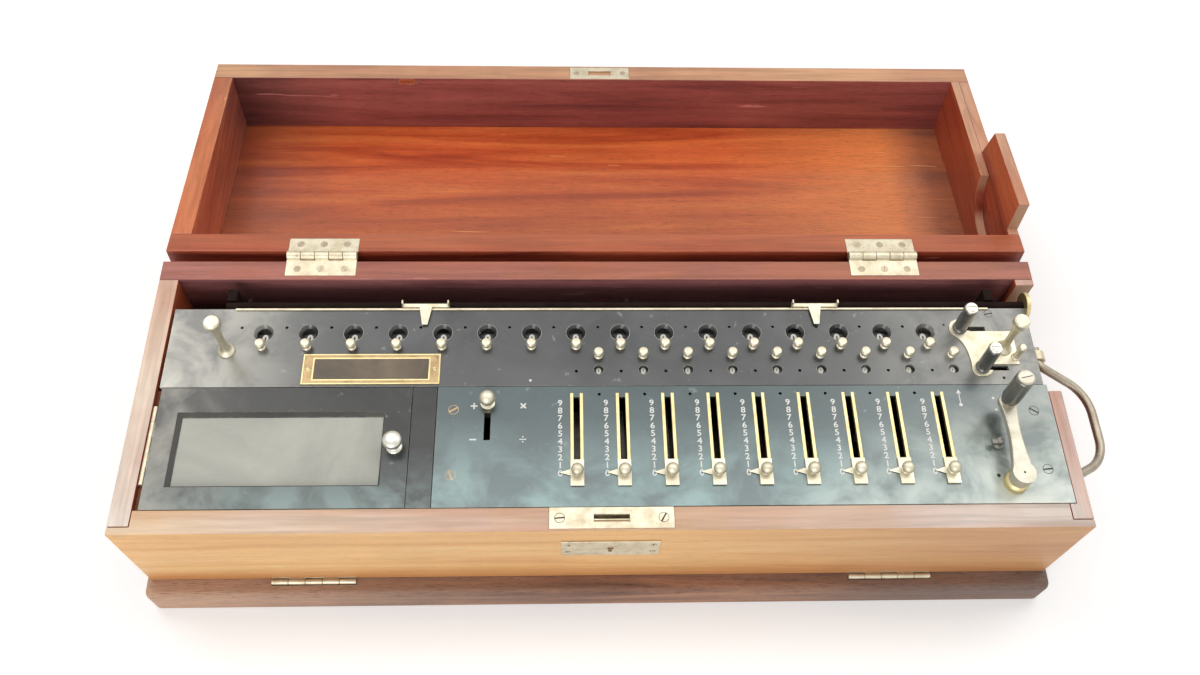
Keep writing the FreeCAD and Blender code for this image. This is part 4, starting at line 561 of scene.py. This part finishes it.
def add_glyph(bm, character, x, y, z, height, turn=0.0, mat=0, wide=1.0, weight=0.018):
    points, faces = glyph(character, weight)
    c, s = math.cos(turn), math.sin(turn)
    outline = [(x + height * (wide * px * c - py * s), y + height * (wide * px * s + py * c))
               for px, py in points]
    low, high = [add_loop(bm, outline, level) for level in (z, z + GLYPH_THICK)]
    sides = {}
    for face in faces:
        bm.faces.new([high[i] for i in face])
        bm.faces.new([low[i] for i in reversed(face)])
        sides.update(dict.fromkeys(zip(face, face[1:] + face[:1])))
    for a, b in sides:
        if (b, a) not in sides:
            bm.faces.new((low[a], low[b], high[b], high[a]))
    paint_faces(low + high, mat)


# ---- pieces from the CAD solids
MERGE_FLAT, BEVEL_OVER, SMOOTH_TO = math.radians(0.6), math.radians(32), math.radians(33)
SOLIDS = {}


def solids(node):
    """Every solid of a CAD node as lists of triangles in millimetres, in order of their middles."""
    mesh = NODES[node].data
    keys = [tuple(round(c * 1e7) for c in v.co) for v in mesh.vertices]
    faces = [tuple(p.vertices) for p in mesh.polygons]
    shared = {}
    for number, face in enumerate(faces):
        for a, b in zip(face, face[1:] + face[:1]):
            shared.setdefault(frozenset((keys[a], keys[b])), []).append(number)
    root = list(range(len(faces)))

    def find(i):
        while root[i] != i:
            root[i] = root[root[i]]
            i = root[i]
        return i

    for users in shared.values():
        if len(users) == 2:
            root[find(users[0])] = find(users[1])
    groups = {}
    for number, face in enumerate(faces):
        groups.setdefault(find(number), []).append([mesh.vertices[i].co / MM for i in face])
    found = [g for g in groups.values() if len(g) > 3]

    def middle(group):
        return [round(sum(f(p[k] for t in group for p in t) for f in (min, max)) / 2, 1) for k in range(3)]

    return sorted(found, key=middle)


def from_cad(node, picks=None, bevel=0.0, segments=1):
    """Mesh of some solids of a CAD node, with flat faces joined and edges softened."""
    if node not in SOLIDS:
        SOLIDS[node] = solids(node)
    whole = bmesh.new()
    for number in (range(len(SOLIDS[node])) if picks is None else picks):
        bm = bmesh.new()
        seen = {}
        for triangle in SOLIDS[node][number]:
            verts = []
            for p in triangle:
                key = tuple(round(c * 1e3) for c in p)
                if key not in seen:
                    seen[key] = bm.verts.new(p)
                verts.append(seen[key])
            if len(set(verts)) == 3 and bm.faces.get(verts) is None:
                bm.faces.new(verts)
        bmesh.ops.dissolve_limit(bm, angle_limit=MERGE_FLAT, verts=bm.verts, edges=bm.edges)
        if bevel:
            sharp = [e for e in bm.edges if e.is_manifold and e.calc_face_angle(0) > BEVEL_OVER]
            bmesh.ops.bevel(bm, geom=sharp, offset=bevel, offset_type="OFFSET", segments=segments, profile=0.5,
                            affect="EDGES", clamp_overlap=False)
        mesh = to_mesh("part", bm)
        whole.from_mesh(mesh)
        bpy.data.meshes.remove(mesh)
    return whole


def finished(name, bm):
    """Mesh in metres from one in millimetres, smooth except at its sharp edges."""
    bmesh.ops.scale(bm, vec=(MM, MM, MM), verts=bm.verts)
    bmesh.ops.recalc_face_normals(bm, faces=bm.faces)
    for face in bm.faces:
        face.smooth = True
    for edge in bm.edges:
        edge.smooth = edge.is_manifold and edge.calc_face_angle(0) < SMOOTH_TO
    return to_mesh(name, bm)


def placed(name, mesh, spot, body, materials, replaces=None, weigh=True):
    """Piece that shows a mesh at a spot in millimetres and rides on a body."""
    obj = linked(name, mesh)
    obj.location = [c * MM for c in spot]
    if not mesh.materials:
        for key in materials:
            mesh.materials.append(M[key])
    if weigh:
        normals = obj.modifiers.new("normals", "WEIGHTED_NORMAL")
        normals.keep_sharp = True
    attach(obj, body)
    if replaces:
        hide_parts(replaces)


def piece(name, bm, body, materials, replaces=None, weigh=True):
    placed(name, finished(name, bm), (0, 0, 0), body, materials, replaces, weigh)


def marks(name, bm, body, *materials):
    """Thin piece without a slot, such as painted signs and small rings."""
    piece(name, bm, body, materials, weigh=False)


# Each row: CAD node, body, slot, and (piece, material, bevel) for each of its solids in order.
BOARDS = [
    ("base_board", "case", "base_wood", [("base_plank", "base_x", 0.5)]),
    ("case_walls", "case", "case_wood", [("wall_left", "left_y", 0.7), ("wall_rear", "rear_x", 0.7),
                                         ("wall_right", "right_y", 0.7)]),
    ("front_flap", "drop_front", "case_wood", [("flap_board", "flap_x", 0.7)]),
    ("lid_boards", "lid", "case_wood", [("lid_left", "lid_left", 0.7), ("lid_rear", "lid_rear", 0.7),
                                        ("lid_panel", "panel_x", 0.6), ("lid_front", "lid_front", 0.7),
                                        ("lid_right", "lid_right", 0.4), ("lid_wing", "lid_right", 0.7)]),
    ("accessory_tray", "case", "tray_wood", [("tray_rail", "tray_y", 0.4), ("tray_front", "tray_x", 0.4),
                                             ("tray_floor", "tray_x", 0.4), ("tray_rear", "tray_x", 0.4),
                                             ("tray_divider", "tray_y", 0.4)]),
]
# Each row: CAD node, its solids, piece, material, bevel, body, slot.
FITTINGS = [
    ("case_hardware", None, "case_brackets_and_hinges", "pale", 0.2, "case", "pale_brass"),
    ("lid_hardware", None, "lid_hinges_and_strike", "pale", 0.2, "lid", "pale_brass"),
    ("flap_hardware", None, "flap_lock_and_hinges", "pale", 0.2, "drop_front", "pale_brass"),
    ("setting_plate", [0], "setting_strip", "frame", 0.25, "case", "black_plate"),
    ("setting_plate", [1], "setting_top", "black2", 0.12, "case", "black_plate"),
    ("plate_fittings", [0], "tray_hinge", "pale", 0.0, "case", "yellow_brass"),
    ("plate_fittings", range(1, 19), "slider_guides", "yellow", 0.15, "case", "yellow_brass"),
    ("plate_fittings", [19], "crank_stop", "steel", 0.2, "case", "yellow_brass"),
    ("plate_fittings", [20], "crank_collar", "yellow", 0.2, "case", "yellow_brass"),
    ("carriage_plate", [2], "carriage_top", "black", 0.12, "carriage", "black_plate"),
    ("carriage_plate", [0, 3, 5], "carriage_under", "black", 0.0, "carriage", "black_plate"),
    ("carriage_plate", [1, 4], "carriage_lugs", "blued", 0.1, "carriage", "black_plate"),
    ("carriage_plate", [6], "carriage_ear", "yellow", 0.3, "carriage", "yellow_brass"),
    ("carriage_trim", [2], "carriage_rail", "pale", 0.2, "carriage", "yellow_brass"),
    ("carriage_trim", [3], "clearing_cover", "nickel", 0.2, "carriage", "nickel"),
    ("right_bail", None, "bail_right_rod", "bail", 0.0, "bail_right", "yellow_brass"),
    ("left_bail", None, "bail_left_rod", "bail", 0.0, "bail_left", "yellow_brass"),
    ("decimal_marker_left", None, "marker_left_clip", "nickel", 0.12, "marker_left", "nickel"),
    ("decimal_marker_right", None, "marker_right_clip", "nickel", 0.12, "marker_right", "nickel"),
    ("crank", None, "crank_arm", "arm", 0.0, "crank_body", "nickel"),
    ("crank_grip", None, "crank_handle", "ebonite", 0.2, "grip", "ebonite"),
    ("reversing_lever", None, "reversing_knob", "nickel", 0.0, "reversing", "nickel"),
]
for k in range(1, SLOTS + 1):
    FITTINGS.append(("slider_%d" % k, None, "slider_%d_plate" % k, "nickel", 0.15, "b_slider_%d" % k, "nickel"))
for node, body, slot, boards in BOARDS:
    for number, (name, material, bevel) in enumerate(boards):
        piece(name, from_cad(node, [number], bevel, 2), body, [material], node)
for node, picks, name, material, bevel, body, slot in FITTINGS:
    bm = from_cad(node, picks, bevel)
    if node == "crank":
        for vert in bm.verts:
            vert.co.z = min(vert.co.z, CAP_TOP)
    piece(name, bm, body, [material], node)
for node, key in (("mechanism_frame", "blued"), ("stepped_drums", "steel"), ("carriage_rod", "blued")):
    NODES[node].data.materials.clear()
    NODES[node].data.materials.append(M[key])

# ---- accessory lid
TRAY_KNOB = [(0.81, 0), (0.81, 0.09), (0.44, 0.16), (0.44, 0.43), (0.87, 0.57), (1, 0.73), (0.87, 0.90),
             (0.47, 1)]
KNUCKLE, KNUCKLE_STEP = 10.3, 10.6


def accessory_frame():
    """Black frame with a softened top edge, a ledge below the slate and a bead above it."""
    bm = bmesh.new()
    section = ((TRAY_LID, TRAY_LID_FOOT), (TRAY_HOLE, TRAY_LID_FOOT), (TRAY_HOLE, RIM), (TRAY_LID, RIM))
    loops = [add_loop(bm, corners(*edges), z) for edges, z in section]
    skin(bm, loops, closed=True)
    top = set(loops[2] + loops[3])
    rims = [e for e in bm.edges if top.issuperset(e.verts) and abs(e.calc_face_angle(0)) > 1]
    bmesh.ops.bevel(bm, geom=rims, offset=0.5, segments=2, profile=0.5, affect="EDGES", clamp_overlap=False)
    mitred_frame(bm, *TRAY_HOLE, [(0, TRAY_LID_FOOT), (SLATE_LEDGE, TRAY_LID_FOOT), (SLATE_LEDGE, SLATE_FOOT),
                                  (0, SLATE_FOOT)])
    bead = [(0, SLATE_FACE), (3.2, SLATE_FACE), (3.2, SLATE_FACE + 0.2), (2.7, SLATE_FACE + 0.35),
            (2.5, SLATE_FACE + 0.6), (0.4, RIM - 0.4), (0, RIM - 0.2)]
    mitred_frame(bm, *TRAY_HOLE, bead, 1, 0.4)
    piece("accessory_frame", bm, "accessory_lid", ["frame", "moulding"], "tray_lid")


def slate_board():
    """The CAD slate, thinner at the top so that it lies deeper."""
    bm = from_cad("slate_panel", None, 0.3)
    for vert in bm.verts:
        if vert.co.z > SLATE_FACE - 0.3:
            vert.co.z -= SLATE_TOP - SLATE_FACE
    piece("slate_board", bm, "accessory_lid", ["slate"], "slate_panel")


def accessory_knob():
    bm = bmesh.new()
    add_lathe(bm, turned(TRAY_KNOB, 6.4, 14.0) + [(0.6, 14.0)], (-132.7, -41.7, RIM), 36)
    piece("accessory_knob", bm, "accessory_lid", ["bright"], "tray_lid")


def accessory_knuckles():
    """The two hinge knuckles of the lid, each with its leaf."""
    bm = bmesh.new()
    for i in (1, 3):
        front = Y_SET + 16.5 + i * KNUCKLE_STEP + 0.15
        knuckle = add_lathe(bm, [(1.6, 0), (1.6, KNUCKLE)], steps=20)
        bmesh.ops.transform(bm, matrix=at(-285.1, front, 108.4) @ spun(-90, "X"), verts=knuckle)
        add_prism(bm, corners(-285.0, -283.1, front, front + KNUCKLE), 107.7, 109.1)
    piece("accessory_knuckles", bm, "accessory_lid", ["pale"], "tray_lid")


accessory_frame()
slate_board()
accessory_knob()
accessory_knuckles()

# ---- dials
DIAL_KNOB = [(0.81, 0), (0.81, 0.11), (0.53, 0.19), (0.53, 0.36), (0.92, 0.5), (1, 0.72), (0.72, 0.97)]


def add_wheel(bm, teeth, r, z0, z1):
    outline = []
    for i in range(teeth):
        for radius, offset in ((r - 1.3, -0.30), (r, -0.16), (r, 0.16), (r - 1.3, 0.30)):
            angle = (i + offset) * 2 * math.pi / teeth
            outline.append((radius * math.cos(angle), radius * math.sin(angle)))
    add_prism(bm, outline, z0, z1)


def dial_mesh(name, disc_r, disc_top, foot_r, window, height, weight):
    """Disc with its digits, spindle, knob above and wheels below, about its own axis.

    window is how far behind the axis the digits are read, less than nought for in front of it."""
    bm = bmesh.new()
    add_lathe(bm, [(disc_r - 0.15, disc_top - 1.2), (disc_r, disc_top - 1.05), (disc_r, disc_top - 0.15),
                   (disc_r - 0.15, disc_top)], steps=56, mat=1)
    add_lathe(bm, [(SPINDLE_R, 86.0), (SPINDLE_R, RIM + 3)], steps=20)
    add_lathe(bm, turned(DIAL_KNOB, 3.6, 7.2) + [(1.6, 7.2), (0.3, 7.2)], (0, 0, RIM + 0.2))
    add_wheel(bm, 8, 4.4, WHEEL_FOOT, WHEEL_TOP)
    add_wheel(bm, 10, foot_r, 88.7, 91.7)
    start = math.copysign(math.pi / 2, window)
    for digit in range(10):
        angle = start + digit * math.pi / 5
        add_glyph(bm, str(digit), abs(window) * math.cos(angle), abs(window) * math.sin(angle), disc_top + 0.02,
                  height, angle - start, 2, 0.96, weight)
    return finished(name, bm)


result_mesh = dial_mesh("result_dial_shape", 13.0, 104.3, 5.6, 9.6, 6.4, 0.05)
counter_mesh = dial_mesh("counter_dial_shape", 12.4, 106.9, 4.4, -9.6, 5.0, 0.08)
DIALS = [("result_dial_%02d" % (i + 1), result_mesh, result_x(i), RESULT_BACK) for i in range(RESULT_DIALS)]
DIALS += [("counter_dial_%d" % (k + 1), counter_mesh, counter_x(k), COUNTER_BACK) for k in range(COUNTER_DIALS)]
for node, mesh, x, back in DIALS:
    placed(node + "_piece", mesh, (x, Y_CAR + back, 0), "b_" + node, ["nickel", "disc", "cream"],
           node, weigh=False)

# ---- knobs, name plate and levers of the carriage
LIFTING_KNOB = [(1, 0), (1, 0.04), (0.57, 0.09), (0.43, 0.21), (0.41, 0.5), (0.54, 0.71), (0.86, 0.84),
                (0.95, 0.895), (0.95, 0.97), (0.75, 1)]
POST = [(1, 0), (1, 0.07), (0.67, 0.12), (0.67, 0.685), (0.93, 0.75), (0.93, 0.93), (0.6, 1)]
HANDLE_FOOT = [(4.9, 0), (4.9, 1.2), (3.6, 2.4), (4.2, 4.2), (4.6, 5.0)]
HANDLE_CAP = [(3.9, 24.5), (4.2, 24.7), (4.2, 25.5), (3.8, 26.1), (3.0, 26.3), (0.4, 26.35)]


def turned_fitting(name, shape, radius, height, tip, rounds, place, steps):
    """Nickel knob or post of the carriage; tip is the radius of its flat top."""
    bm = bmesh.new()
    add_lathe(bm, turned(shape, radius, height, rounds) + [(tip, height)], place, steps)
    piece(name, bm, "carriage", ["nickel"], "carriage_trim")


for side, x, foot in (("left", XL + 40.6, RIM), ("right", XR - 19.9, COVER_TOP)):
    turned_fitting("lifting_knob_" + side, LIFTING_KNOB, 5.6, 148.0 - foot, 0.5, 2, (x, Y_CAR + 26.5, foot), 36)
turned_fitting("carriage_post", POST, 3.0, 14.6, 0.4, 1, (XR - 13.0, Y_CAR + 19.5, COVER_TOP), 28)


def name_plate():
    """Bare plate: brass edge, thin inner line and a dark grained field, with a small screw at each end."""
    x0, x1, y0, y1 = XL + 91.0, XL + 180.0, Y_CAR + 1.5, Y_CAR + 23.7
    bm = bmesh.new()
    add_prism(bm, corners(x0 + 0.3, x1 - 0.3, y0 + 0.3, y1 - 0.3), RIM, RIM + 0.5, 3)
    add_prism(bm, corners(x0 + 6.8, x1 - 6.8, y0 + 3.0, y1 - 3.0), RIM + 0.4, RIM + 0.56, 1)
    edge = [(0, 0), (1.0, 0), (1.0, 0.75), (0.8, 0.9), (0.2, 0.9), (0, 0.75)]
    line = [(0, 0.3), (1.1, 0.3), (1.1, 0.7), (0.9, 0.85), (0.2, 0.85), (0, 0.7)]
    mitred_frame(bm, x0, x1, y0, y1, [(d, RIM + z) for d, z in edge])
    mitred_frame(bm, x0 + 6.4, x1 - 6.4, y0 + 2.6, y1 - 2.6, [(d, RIM + z) for d, z in line])
    for x in (x0 + 3.7, x1 - 3.7):
        add_screw(bm, at(x, (y0 + y1) / 2, RIM + 0.5), 1.3, 15, dark=2)
    piece("name_plate_bare", bm, "carriage", ["yellow", "field", "dark", "band"],
          "carriage_trim")


def rack(bm, x0, x1, edge, far, mat):
    """Bar with small teeth along the long side at edge; far is its other long side."""
    step, tooth = 3.0, math.copysign(1.0, far - edge)
    outline = []
    for i in range(int((x1 - x0) / step)):
        x = x0 + i * step
        outline += [(x, edge + tooth), (x + 0.7, edge), (x + 1.6, edge), (x + 2.3, edge + tooth)]
    outline += [(x1, edge + tooth), (x1, far), (x0, far)]
    add_prism(bm, outline, WHEEL_FOOT, WHEEL_TOP, mat)


def clearing_lever(which, x, y, rack_x0, edge, far):
    """Black barrel with a slotted nickel cap, its foot, shank and toothed rack."""
    z = RIM + 1.5
    bm = bmesh.new()
    add_lathe(bm, rounded(HANDLE_FOOT, 1) + [(4.6, 24.2), (4.3, 24.6)], (x, y, z), 32, 0)
    add_lathe(bm, HANDLE_CAP, (x, y, z), 32, 1)
    for side in (1, -1):
        outline = [(x + px * side, y + py * side) for px, py in half_disc(3.2, 0.5)]
        add_prism(bm, outline, z + 26.0, z + 27.0, 1)
    add_lathe(bm, [(SPINDLE_R, WHEEL_FOOT - z), (SPINDLE_R, 1.0)], (x, y, z), 20, 1)
    rack(bm, rack_x0, x + 4.0, edge, far, 2)
    piece("clearing_handle_" + which, bm, "clear_" + which, ["ebonite", "bright", "steel"],
          "clearing_lever_" + which)


name_plate()
clearing_lever("result", XR - 46.5, Y_CAR + 42.2, result_x(0) - 6, Y_CAR + 34.0, Y_CAR + 44.7)
clearing_lever("counter", XR - 36.5, Y_CAR + 12.2, counter_x(0) - 6, Y_CAR + 17.4, Y_CAR + 9.7)

# ---- numerals, signs and small marks
PLUG = [(-155.6, 110.9), (-144.2, 110.8), (-143.6, 113.2), (-144.4, 116.2), (-148.0, 116.8), (-152.6, 116.1),
        (-155.9, 116.5), (-156.3, 113.6)]
SCUFFS = [(-160.5, 113.4, 2.2), (-158.8, 111.9, 1.6), (-140.6, 112.6, 2.6), (-139.2, 114.8, 1.8)]


def slot_numerals():
    bm = bmesh.new()
    for k in range(SLOTS):
        for digit in range(10):
            add_glyph(bm, str(digit), column_x(k) - 10.6, ZERO_Y + 0.1 + digit * DIGIT, RIM + MARK_FOOT, 4.3,
                      wide=1.05)
    marks("slot_numerals", bm, "case", "white")


def plate_marks():
    """Signs beside the reversing lever, the arrow at the right end and small dots."""
    bm = bmesh.new()
    for character, x, y in (("+", -84.0, -13.5), ("×", -52.6, -13.5), ("−", -84.0, -37.0)):
        add_glyph(bm, character, x, y, RIM + MARK_FOOT, 6.0)
    dividing_bar, arrow_shaft = corners(-54.8, -50.4, -37.3, -36.7), corners(230.9, 231.5, -13.0, -5.5)
    for outline in (dividing_bar, arrow_shaft, [(229.5, -5.8), (232.9, -5.8), (231.2, -2.9)]):
        add_prism(bm, outline, RIM + MARK_FOOT, RIM + MARK_TOP)
    for x, y, r in ((-52.6, -38.7, 0.5), (-52.6, -35.3, 0.5), (231.2, -14.0, 1.2), (253.3, -9.3, 0.9),
                    (253.7, -17.7, 0.9), (-48.3, 4.9, 0.9)):
        add_lathe(bm, [(r, MARK_FOOT), (r, MARK_TOP)], (x, y, RIM), 16)
    marks("plate_marks", bm, "case", "white")


def window_edges():
    bm = bmesh.new()
    for i in range(RESULT_DIALS):
        add_ring(bm, result_x(i), Y_CAR + WINDOW_BACK, WINDOW_R, 0.32)
    for k in range(COUNTER_DIALS):
        add_ring(bm, counter_x(k), Y_CAR + SMALL_BACK, SMALL_R, 0.26)
    marks("window_edges", bm, "carriage", "ring")


def oil_holes(name, body, places):
    """Small countersunk holes: a dark floor of painted shade inside a paler edge that is partly rubbed wear and
    partly painted highlight.
    """
    bm = bmesh.new()
    for x, y, r in places:
        add_lathe(bm, [(r, MARK_FOOT), (r * 0.96, 0.03)], (x, y, RIM), 20, 1)
        add_ring(bm, x, y, r, 0.12, 20)
    marks(name, bm, body, "ring", "dark")


def crank_marks():
    """Slot in the cap of the grip's spindle and the pin hole of the arm, as dark marks of painted shade."""
    bm = bmesh.new()
    slot = ((-3.6, -1.1), (3.5, 0.5), (3.6, 1.1), (-3.5, -0.5))
    add_prism(bm, [(CRANK_X + dx, CRANK_Y + CRANK_R + dy) for dx, dy in slot], CAP_TOP - 0.3, CAP_TOP + 0.05)
    add_lathe(bm, [(0.75, -0.3), (0.75, 0.04)], (CRANK_X, CRANK_Y, ARM_TOP), 16)
    marks("crank_marks", bm, "crank_body", "dark")


def lid_plug():
    """Round wooden plug with scuffs beside it, on the inner face of the lid's front board."""
    bm = bmesh.new()
    made = add_prism(bm, [(x, -z) for x, z in PLUG], 0.0, 0.12)
    for x, z, length in SCUFFS:
        made += add_prism(bm, [(x - length / 2, -z - 0.5), (x + length / 2, -z - 0.9),
                               (x + length / 2 + 0.4, -z + 0.3), (x - length / 3, -z + 0.7)], 0.0, 0.1, 1)
    bmesh.ops.transform(bm, matrix=OPENED @ at(0, LID_INNER, 0) @ spun(-90, "X"), verts=made)
    marks("lid_plug", bm, "lid", "plug", "scuff")


slot_numerals()
plate_marks()
window_edges()
oil_holes("carriage_holes", "carriage", [(263.7, 5.6, 1.0), (230.5, 46.2, 0.9)])
oil_holes("setting_holes", "case", [(246.0, -63.6, 1.2)])
crank_marks()
lid_plug()


# ---- screws
def screws(name, body, materials, rows):
    """Piece of screws; each row is what add_screw needs after its mesh."""
    bm = bmesh.new()
    for row in rows:
        add_screw(bm, *row)
    piece(name, bm, body, materials, weigh=False)


def hinge_screws(turns, place):
    """Three screws in each lid hinge, 16 mm apart; place gives their matrix from x and y."""
    return [(place(x + dx, HINGE_SCREW_Y), 2.3, turn) for x in HINGE_X for dx, turn in zip((-16, 0, 16), turns)]


# Places of screws on the plates, the lid, the brackets of the bails and the lock.
def on_plate(x, y):
    return at(x, y, RIM)


def on_lid(x, y):
    return OPENED @ at(x, y, LID_LEAF) @ spun(180, "X")


def on_side(side, y):
    return at(side * 302.0, y, 75) @ spun(side * 90, "Y")


def on_flap(x, z):
    return at(x, -99.0, z) @ spun(90, "X")


screws("case_screws", "case", ["screw", "brown"],
       hinge_screws((10, 75, 130), on_plate)
       + [(on_side(side, -10 + end * 50 + dy), 2.2, 20 + 35 * dy)
          for side in (-1, 1) for end in (-1, 1) for dy in (-9.6, 9.6)])
screws("lid_screws", "lid", ["screw", "brown"],
       hinge_screws((40, 95, 160), on_lid)
       + [(on_lid(2.9 + dx, -89.9), 2.0, turn) for dx, turn in ((-18.5, 20), (18.5, 70))])
screws("flap_screws", "drop_front", ["pale", "dark"],
       [(on_plate(x, -89.4), 2.9, turn) for x, turn in ((-29.5, 5), (34.0, 60))]
       + [(on_flap(2.3 + dx, 81.0 + dz), 1.7, 25 + dx + 9 * dz, 0, 1, 0.5)
          for dx in (-26.8, 26.8) for dz in (-6.0, 6.0)])
screws("plate_screws", "case", ["black2", "dark", "band"],
       [(on_plate(x, y), 3.0, turn, 0, ring, 0.08)
        for x, y, turn, ring in ((278.3, -18.6, -35, 1), (278.3, -59.5, 5, 1), (-97.0, -16.0, 30, 2),
                                 (-97.0, -61.0, 110, 2))])
screws("carriage_screw", "carriage", ["black", "dark"], [(on_plate(262.8, 55.0), 2.6, 10, 0, 1, 0.08)])


# ---- camera, floor, world and lamps
def photo_camera():
    """Camera at the photograph's place: 33 mm lens, looking 60 degrees down."""
    pitch, yaw, roll = math.radians(59.89), math.radians(4.13), math.radians(-3.45)
    place, focal_pixels, photo_width, sensor = (-0.0288, -0.3280, 0.7410), 1096.44, 1200, 36
    ahead = Vector((math.sin(yaw) * math.cos(pitch), math.cos(yaw) * math.cos(pitch), -math.sin(pitch)))
    right = Vector((math.cos(yaw), -math.sin(yaw), 0))
    down = ahead.cross(right)
    across = math.cos(roll) * right + math.sin(roll) * down
    lower = -math.sin(roll) * right + math.cos(roll) * down
    data = bpy.data.cameras.new("photo_camera")
    data.lens = focal_pixels * sensor / photo_width
    data.sensor_width = sensor
    data.clip_start, data.clip_end = 0.05, 30
    camera = linked("photo_camera", data)
    rows = [(across[i], -lower[i], -ahead[i], place[i]) for i in range(3)]
    camera.matrix_world = Matrix(rows + [(0, 0, 0, 1)])
    bpy.context.scene.camera = camera


def ray_kind(tree):
    """1 for camera, glossy and transmission rays, otherwise 0."""
    path = add(tree, "ShaderNodeLightPath")
    seen = calc(tree, "MAXIMUM", path.outputs["Is Camera Ray"], path.outputs["Is Glossy Ray"])
    return calc(tree, "MAXIMUM", seen, path.outputs["Is Transmission Ray"])


def stage():
    """Pale floor and world, both white to the camera and plain to the object."""
    floor_bm = bmesh.new()
    bmesh.ops.create_grid(floor_bm, x_segments=1, y_segments=1, size=6.0)
    mesh = to_mesh("floor", floor_bm)
    floor = linked("floor", mesh)
    material, tree, shader = new_tree("floor_white")
    away = add(tree, "ShaderNodeVectorMath", {"operation": "LENGTH"})
    put(tree, away.inputs[0], add(tree, "ShaderNodeTexCoord").outputs["Object"])
    glow = mapped(tree, away.outputs["Value"], 0.6, 2.0, 0.30, 0.80)
    fill(tree, shader, Base_Color=(0.92, 0.92, 0.92, 1), Roughness=0.8, Specular_IOR_Level=0.0,
         Emission_Color=(1, 1, 1, 1), Emission_Strength=times(tree, ray_kind(tree), glow))
    mesh.materials.append(material)
    world = bpy.data.worlds.new("studio")
    bpy.context.scene.world = world
    world.use_nodes = True
    tree = world.node_tree
    fill(tree, tree.nodes["Background"], Color=(1, 1, 1, 1),
         Strength=mapped(tree, ray_kind(tree), 0.0, 1.0, 0.40, 1.0))


def lamp(name, place, target, size, power, colour):
    data = bpy.data.lights.new(name, "AREA")
    data.shape = "RECTANGLE"
    data.size, data.size_y = size
    data.energy = power
    data.color = colour
    obj = linked(name, data)
    obj.location = place
    obj.rotation_mode = "QUATERNION"
    obj.rotation_quaternion = (Vector(target) - Vector(place)).to_track_quat("-Z", "Y")


photo_camera()
stage()
lamp("strip_above", (0.05, 0.28, 1.20), (0.05, 0.28, 0.0), (1.7, 0.36), 4.9, (1.0, 0.99, 0.97))
lamp("box_left", (-0.86, 0.62, 1.20), (-0.86, 0.62, 0.0), (0.8, 0.7), 4.0, (1.0, 0.98, 0.93))
lamp("box_right", (0.98, 0.62, 1.20), (0.98, 0.62, 0.0), (1.0, 0.8), 4.3, (1.0, 0.98, 0.93))
lamp("front_fill", (-0.5, -1.8, 0.8), (0, 0, 0.08), (1.4, 0.9), 16.0, (1.0, 0.99, 0.97))

scene = bpy.context.scene
scene.view_settings.view_transform = "Standard"
